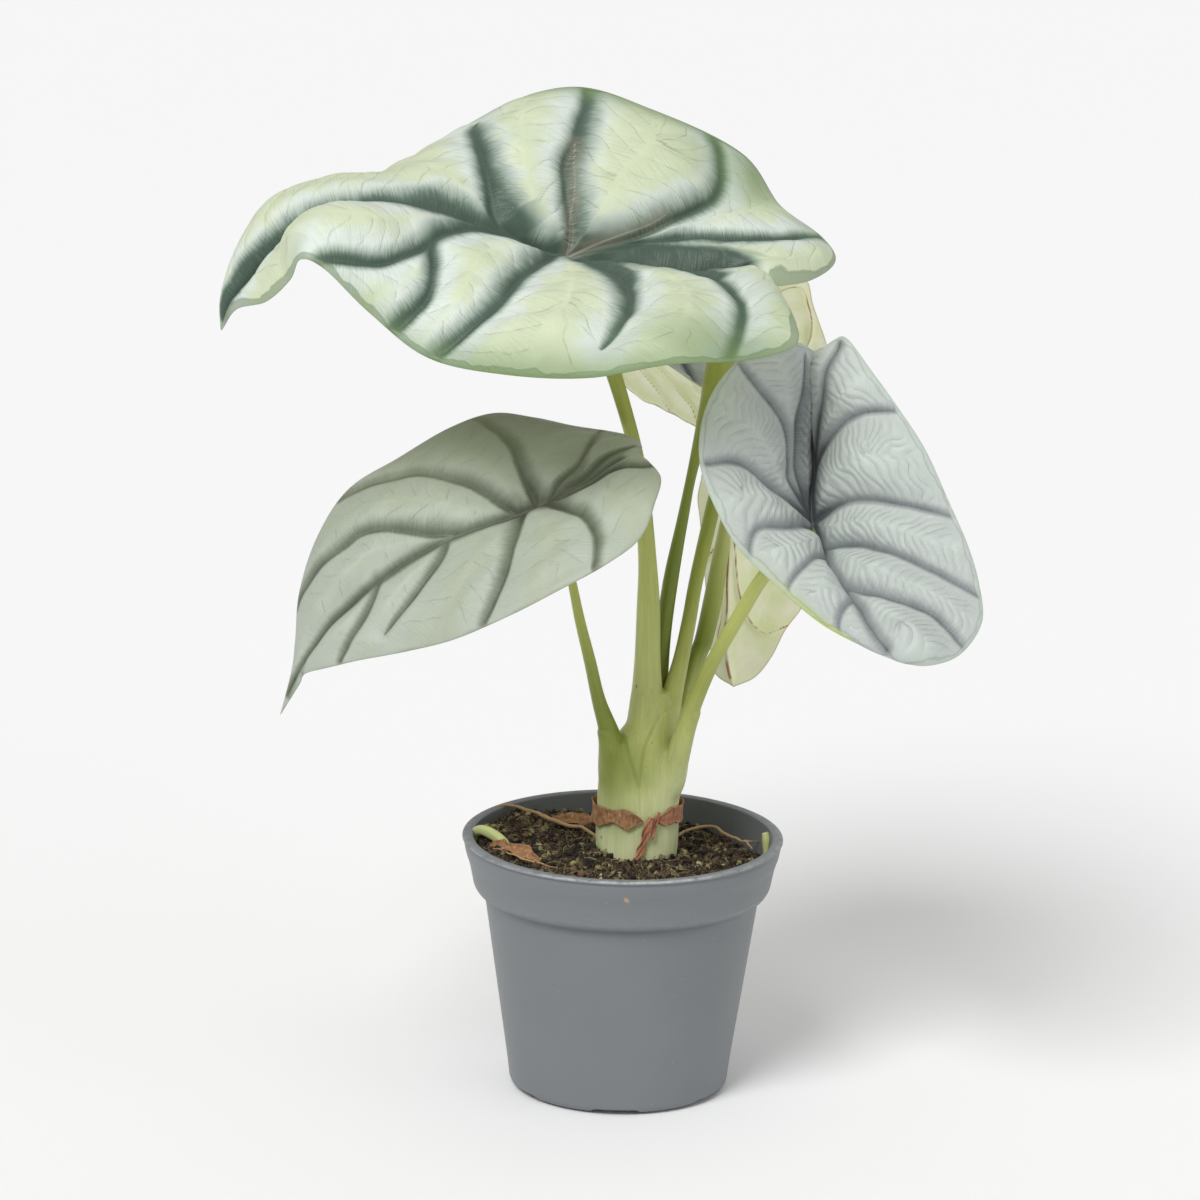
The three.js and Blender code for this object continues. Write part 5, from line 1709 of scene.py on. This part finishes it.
class ALOCASIA_OT_remains(bpy.types.Operator):
    """Make the roots and cut stubs that lie on the soil"""

    bl_idname = "alocasia.remains"
    bl_label = "Make the Roots and Remains"

    def execute(self, context):
        settings = context.scene.alocasia_stalks
        root_tone = np.array(colour(176, 146, 102))
        heap = Heap()
        for route in ROOTS:
            line = sampled(route, 60)
            line[:, :3] += 0.25 * np.stack([waves(line[:, :3], 5, k) for k in (31, 32, 33)], axis=1)
            points, faces, grain = tube(line[:, :3], 0.8 * line[:, 3], 14)
            heap.add(points, faces, grain=grain, tint=root_tone)
        points, values = heap.joined()
        root_skin = stem_material("root_skin", 0.9, 0.2)
        make_piece("loose_roots", points, heap.faces, [root_skin], values)
        heap = Heap()
        for route in CUT_STUBS:
            line = sampled(route, 50)
            points, faces, grain = tube(line[:, :3], line[:, 3], 28)
            heap.add(points, faces, grain=grain, tint=stem_colour(settings, 0.45, 0.0))
        points, values = heap.joined()
        flesh = stem_material("old_stub_flesh", 0.5, 0.1)
        make_piece("old_leaf_stubs", points, heap.faces, [flesh], values)
        return {"FINISHED"}


# Pot

def rounded_profile(corners, steps=6):
    """A line of radius and height through corners given with the radius of their rounding"""
    line = []
    for k, (r, z, rounding) in enumerate(corners):
        here = np.array((r, z), float)
        if rounding == 0:
            line.append(here)
            continue
        before = np.array(corners[k - 1][:2], float)
        after = np.array(corners[k + 1][:2], float)
        inward, outward = unit(before - here), unit(after - here)
        start, end = here + inward * rounding, here + outward * rounding
        for w in np.linspace(0, 1, steps + 1):
            line.append((1 - w) ** 2 * start + 2 * w * (1 - w) * here + w * w * end)
    return np.array(line)


def pot_corners(settings):
    """Corners of the pot's section as radius, height and rounding, from the middle underneath"""
    height = settings.height / MM
    lip = settings.lip_radius / MM
    foot = settings.foot_radius / MM
    wall = settings.wall / MM
    inner_lip = BAND_RADIUS - wall + MOUTH_FLARE
    return [
        (0.01, 0, 0), (12, 0, 0.4), (12.5, 3, 0.6), (foot - 3, 3, 0.6), (foot - 3, 0, 0.5),
        (foot, 0, 0.8), (BODY_CORNER_RADIUS - 2.1, 1, 0.9), (BODY_CORNER_RADIUS - 0.9, 2.5, 0.8),
        (BODY_CORNER_RADIUS, BODY_CORNER, 3), (BODY_TOP_RADIUS, BODY_TOP, 0.9),
        (BODY_TOP_RADIUS + 0.9, BODY_TOP + 1.8, 0.7), (BAND_RADIUS - 1.2, BAND_BOTTOM - 2.0, 0.9),
        (BAND_RADIUS, BAND_BOTTOM, 0.9), (BAND_RADIUS + 1.7, BAND_BOTTOM + 8.5, 2),
        (BAND_TOP_RADIUS - 0.7, BAND_TOP - 3.5, 1.2), (BAND_TOP_RADIUS, BAND_TOP, 0.7),
        (BAND_TOP_RADIUS - 0.2, height - 1.35, 0.25), (lip, height - 1.05, 0.25), (lip, height - 0.4, 0.3),
        (lip - 0.6, height, 0.3), (inner_lip, height, 0.5), (inner_lip - 0.17, height - 1.5, 0.6),
        (BAND_RADIUS - wall, BAND_BOTTOM, 0.8), (BODY_TOP_RADIUS - wall, BODY_TOP, 0.8),
        (BODY_CORNER_RADIUS - wall, BODY_CORNER, 2.5), (BODY_CORNER_RADIUS - wall - 2.4, 4.6, 1.5),
        (0.01, 4.6, 0),
    ]


def turned_pot(settings):
    """The pot turned round its axis, with notches cut up into the foot ring"""
    sides = 240
    profile = rounded_profile(pot_corners(settings))
    turn = full_turn(sides)
    notch_angle = (turn + math.pi / 2 - FOOT_TURN + math.pi / 6) % (math.pi / 3) - math.pi / 6
    notch = 1 - smooth(np.abs(notch_angle) * settings.foot_radius / MM, 6.8, 9.6)
    rings = []
    for r, z in profile:
        in_foot = z < 2.2 and r > settings.foot_radius / MM - 4.5
        lifted = np.maximum(z, 2.2 * notch) if in_foot else z + 0 * turn
        rings.append(np.stack([r * np.cos(turn), r * np.sin(turn), lifted], axis=-1))
    return np.vstack(rings), ring_faces(len(rings), sides)


def drilled(points, faces):
    """The pot with its drain holes through the base"""
    holder = temporary_object("pot blank", points, faces)
    cutter = temporary_object("drills", np.zeros((0, 3)), [])
    drills = bmesh.new()
    for k in range(DRAIN_HOLES):
        turn = k * 2 * math.pi / DRAIN_HOLES
        middle = Vector((DRAIN_RING * math.cos(turn), DRAIN_RING * math.sin(turn), 3)) * MM
        bmesh.ops.create_cone(
            drills, cap_ends=True, segments=32, radius1=DRAIN_RADIUS * MM, radius2=DRAIN_RADIUS * MM,
            depth=10 * MM, matrix=Matrix.Translation(middle),
        )
    drills.to_mesh(cutter.data)
    drills.free()
    cut = holder.modifiers.new("holes", "BOOLEAN")
    cut.operation = "DIFFERENCE"
    cut.object = cutter
    return modified_form(holder, cutter)


def pot_wear_and_painted_light(points):
    """How worn each point of the pot is, at its rubbed edges and as a painted highlight along the front of
    the lip, and how dark, as painted shade in the crease under the band
    """
    reach = np.linalg.norm(points[:, :2], axis=1)
    front, height = -points[:, 1], points[:, 2]
    worn = np.max([
        0.35 * smooth(height, 95.8, 96.6) * smooth(reach, 57, 59.5),
        # Painted highlight: a bright line along the top of the lip on the side that faces the camera
        0.9 * smooth(height, 96.2, 96.8) * smooth(reach, 58.6, 59.6) * smooth(front, 40, 57),
        0.08 * np.exp(-(height - BAND_BOTTOM) ** 2) * smooth(reach, 54, 55),
    ], axis=0)
    # Painted shade: a dark line in the crease under the band
    crease = 0.55 * np.exp(-((height - BODY_TOP - 2.2) / 2.0) ** 2) * smooth(reach, 50.8, 51.1)
    return np.stack([worn, crease, 0 * worn], axis=1)


class ALOCASIA_OT_pot(bpy.types.Operator):
    """Make the grey nursery pot"""

    bl_idname = "alocasia.pot"
    bl_label = "Make the Pot"

    def execute(self, context):
        settings = context.scene.alocasia_pot
        points, faces = drilled(*turned_pot(settings))
        values = {label: tuple(getattr(settings, label.lower())) for label in ("Plastic", "Scuff", "Fleck")}
        values["Fleck Place"] = FLECK_PLACE
        material, _ = look_material("grey_pot_plastic", "Moulded Plastic", plastic_group, values)
        marks = pot_wear_and_painted_light(points)
        make_piece("nursery_pot", points, faces, [material], {"marks": marks}, ("pot",))
        return {"FINISHED"}


# Stage

def set_camera():
    """The camera of the photograph: a long lens from far off, a little above the plant"""
    tilt, roll = math.radians(VIEW_ELEVATION), math.radians(VIEW_ROLL)
    ahead = Vector((0, math.cos(tilt), -math.sin(tilt)))
    level = Vector((1, 0, 0))
    upright = level.cross(ahead)
    right = math.cos(roll) * level + math.sin(roll) * upright
    up = -math.sin(roll) * level + math.cos(roll) * upright
    data = bpy.data.cameras.new("camera")
    data.lens = VIEW_LENS
    data.sensor_width = 36
    data.clip_end = 30
    camera = bpy.data.objects.new("camera", data)
    turn = Matrix((right, up, -ahead)).transposed().to_4x4()
    camera.matrix_world = Matrix.Translation((Vector(VIEW_TARGET) - ahead * VIEW_DISTANCE) * MM) @ turn
    bpy.context.scene.collection.objects.link(camera)
    bpy.context.scene.camera = camera


def add_sun(name, heading, height, strength, softness):
    """A far, soft light from a heading (0 from behind the camera, 90 from the right) and a height"""
    data = bpy.data.lights.new(name, "SUN")
    data.energy = strength
    data.angle = math.radians(softness)
    lamp = bpy.data.objects.new(name, data)
    lamp.rotation_euler = (math.radians(90 - height), 0, math.radians(heading))
    bpy.context.scene.collection.objects.link(lamp)


class ALOCASIA_OT_stage(bpy.types.Operator):
    """Set up the camera, the pale floor and the soft studio light"""

    bl_idname = "alocasia.stage"
    bl_label = "Set the Stage"

    def execute(self, context):
        set_camera()
        mesh = bpy.data.meshes.new("floor")
        corners = [(x * FLOOR_HALF, y * FLOOR_HALF, 0) for x, y in ((-1, -1), (1, -1), (1, 1), (-1, 1))]
        mesh.from_pydata(corners, [], [(0, 1, 2, 3)])
        material = bpy.data.materials.new("pale_floor")
        material.use_nodes = True
        shader = material.node_tree.nodes["Principled BSDF"]
        feed(material.node_tree, shader, {"Base Color": colour(250, 250, 250), "Roughness": 0.8})
        mesh.materials.append(material)
        floor = bpy.data.objects.new("floor", mesh)
        context.scene.collection.objects.link(floor)
        add_sun("key", -28, 47, 2.0, 26)
        add_sun("fill", 55, 28, 0.42, 60)
        add_sun("top", 150, 65, 0.2, 60)
        world = bpy.data.worlds.new("studio")
        world.use_nodes = True
        sky = world.node_tree.nodes["Background"]
        feed(world.node_tree, sky, {"Color": (1, 1, 1, 1), "Strength": 0.41})
        context.scene.world = world
        context.scene.view_settings.view_transform = "Standard"
        return {"FINISHED"}


class ALOCASIA_PT_panel(bpy.types.Panel):
    """Lists the steps that build the plant, with their settings"""

    bl_idname = "ALOCASIA_PT_panel"
    bl_label = "Silver Dragon Alocasia"
    bl_space_type = "VIEW_3D"
    bl_region_type = "UI"
    bl_category = "Alocasia"

    def draw(self, context):
        for step in STEPS:
            self.layout.operator(step.bl_idname)
        for label in SETTINGS:
            group = getattr(context.scene, label)
            box = self.layout.box()
            box.label(text=group.bl_rna.name)
            for setting in group.bl_rna.properties.keys():
                if setting not in ("rna_type", "name"):
                    box.prop(group, setting)


STEPS = (
    ALOCASIA_OT_stage, ALOCASIA_OT_pot, ALOCASIA_OT_soil, ALOCASIA_OT_remains, ALOCASIA_OT_crown,
    ALOCASIA_OT_dry_sheath, ALOCASIA_OT_stalks, ALOCASIA_OT_blades,
)
SETTINGS = {
    "alocasia_pot": PotSettings,
    "alocasia_soil": SoilSettings,
    "alocasia_stalks": StalkSettings,
    "alocasia_blades": BladeSettings,
    "alocasia_top_colours": TopBladeColours,
    "alocasia_left_colours": LeftBladeColours,
    "alocasia_right_colours": RightBladeColours,
}


def register():
    for group in SETTINGS.values():
        bpy.utils.register_class(group)
    for step in STEPS:
        bpy.utils.register_class(step)
    bpy.utils.register_class(ALOCASIA_PT_panel)
    for label, group in SETTINGS.items():
        setattr(bpy.types.Scene, label, PointerProperty(type=group))


def unregister():
    for label in SETTINGS:
        delattr(bpy.types.Scene, label)
    bpy.utils.unregister_class(ALOCASIA_PT_panel)
    for step in reversed(STEPS):
        bpy.utils.unregister_class(step)
    for group in reversed(list(SETTINGS.values())):
        bpy.utils.unregister_class(group)


def main():
    """Registers the add-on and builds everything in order"""
    register()
    bpy.ops.alocasia.stage()
    bpy.ops.alocasia.pot()
    bpy.ops.alocasia.soil()
    bpy.ops.alocasia.remains()
    bpy.ops.alocasia.crown()
    bpy.ops.alocasia.dry_sheath()
    bpy.ops.alocasia.stalks()
    bpy.ops.alocasia.blades()
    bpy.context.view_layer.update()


if __name__ == "__main__":
    main()
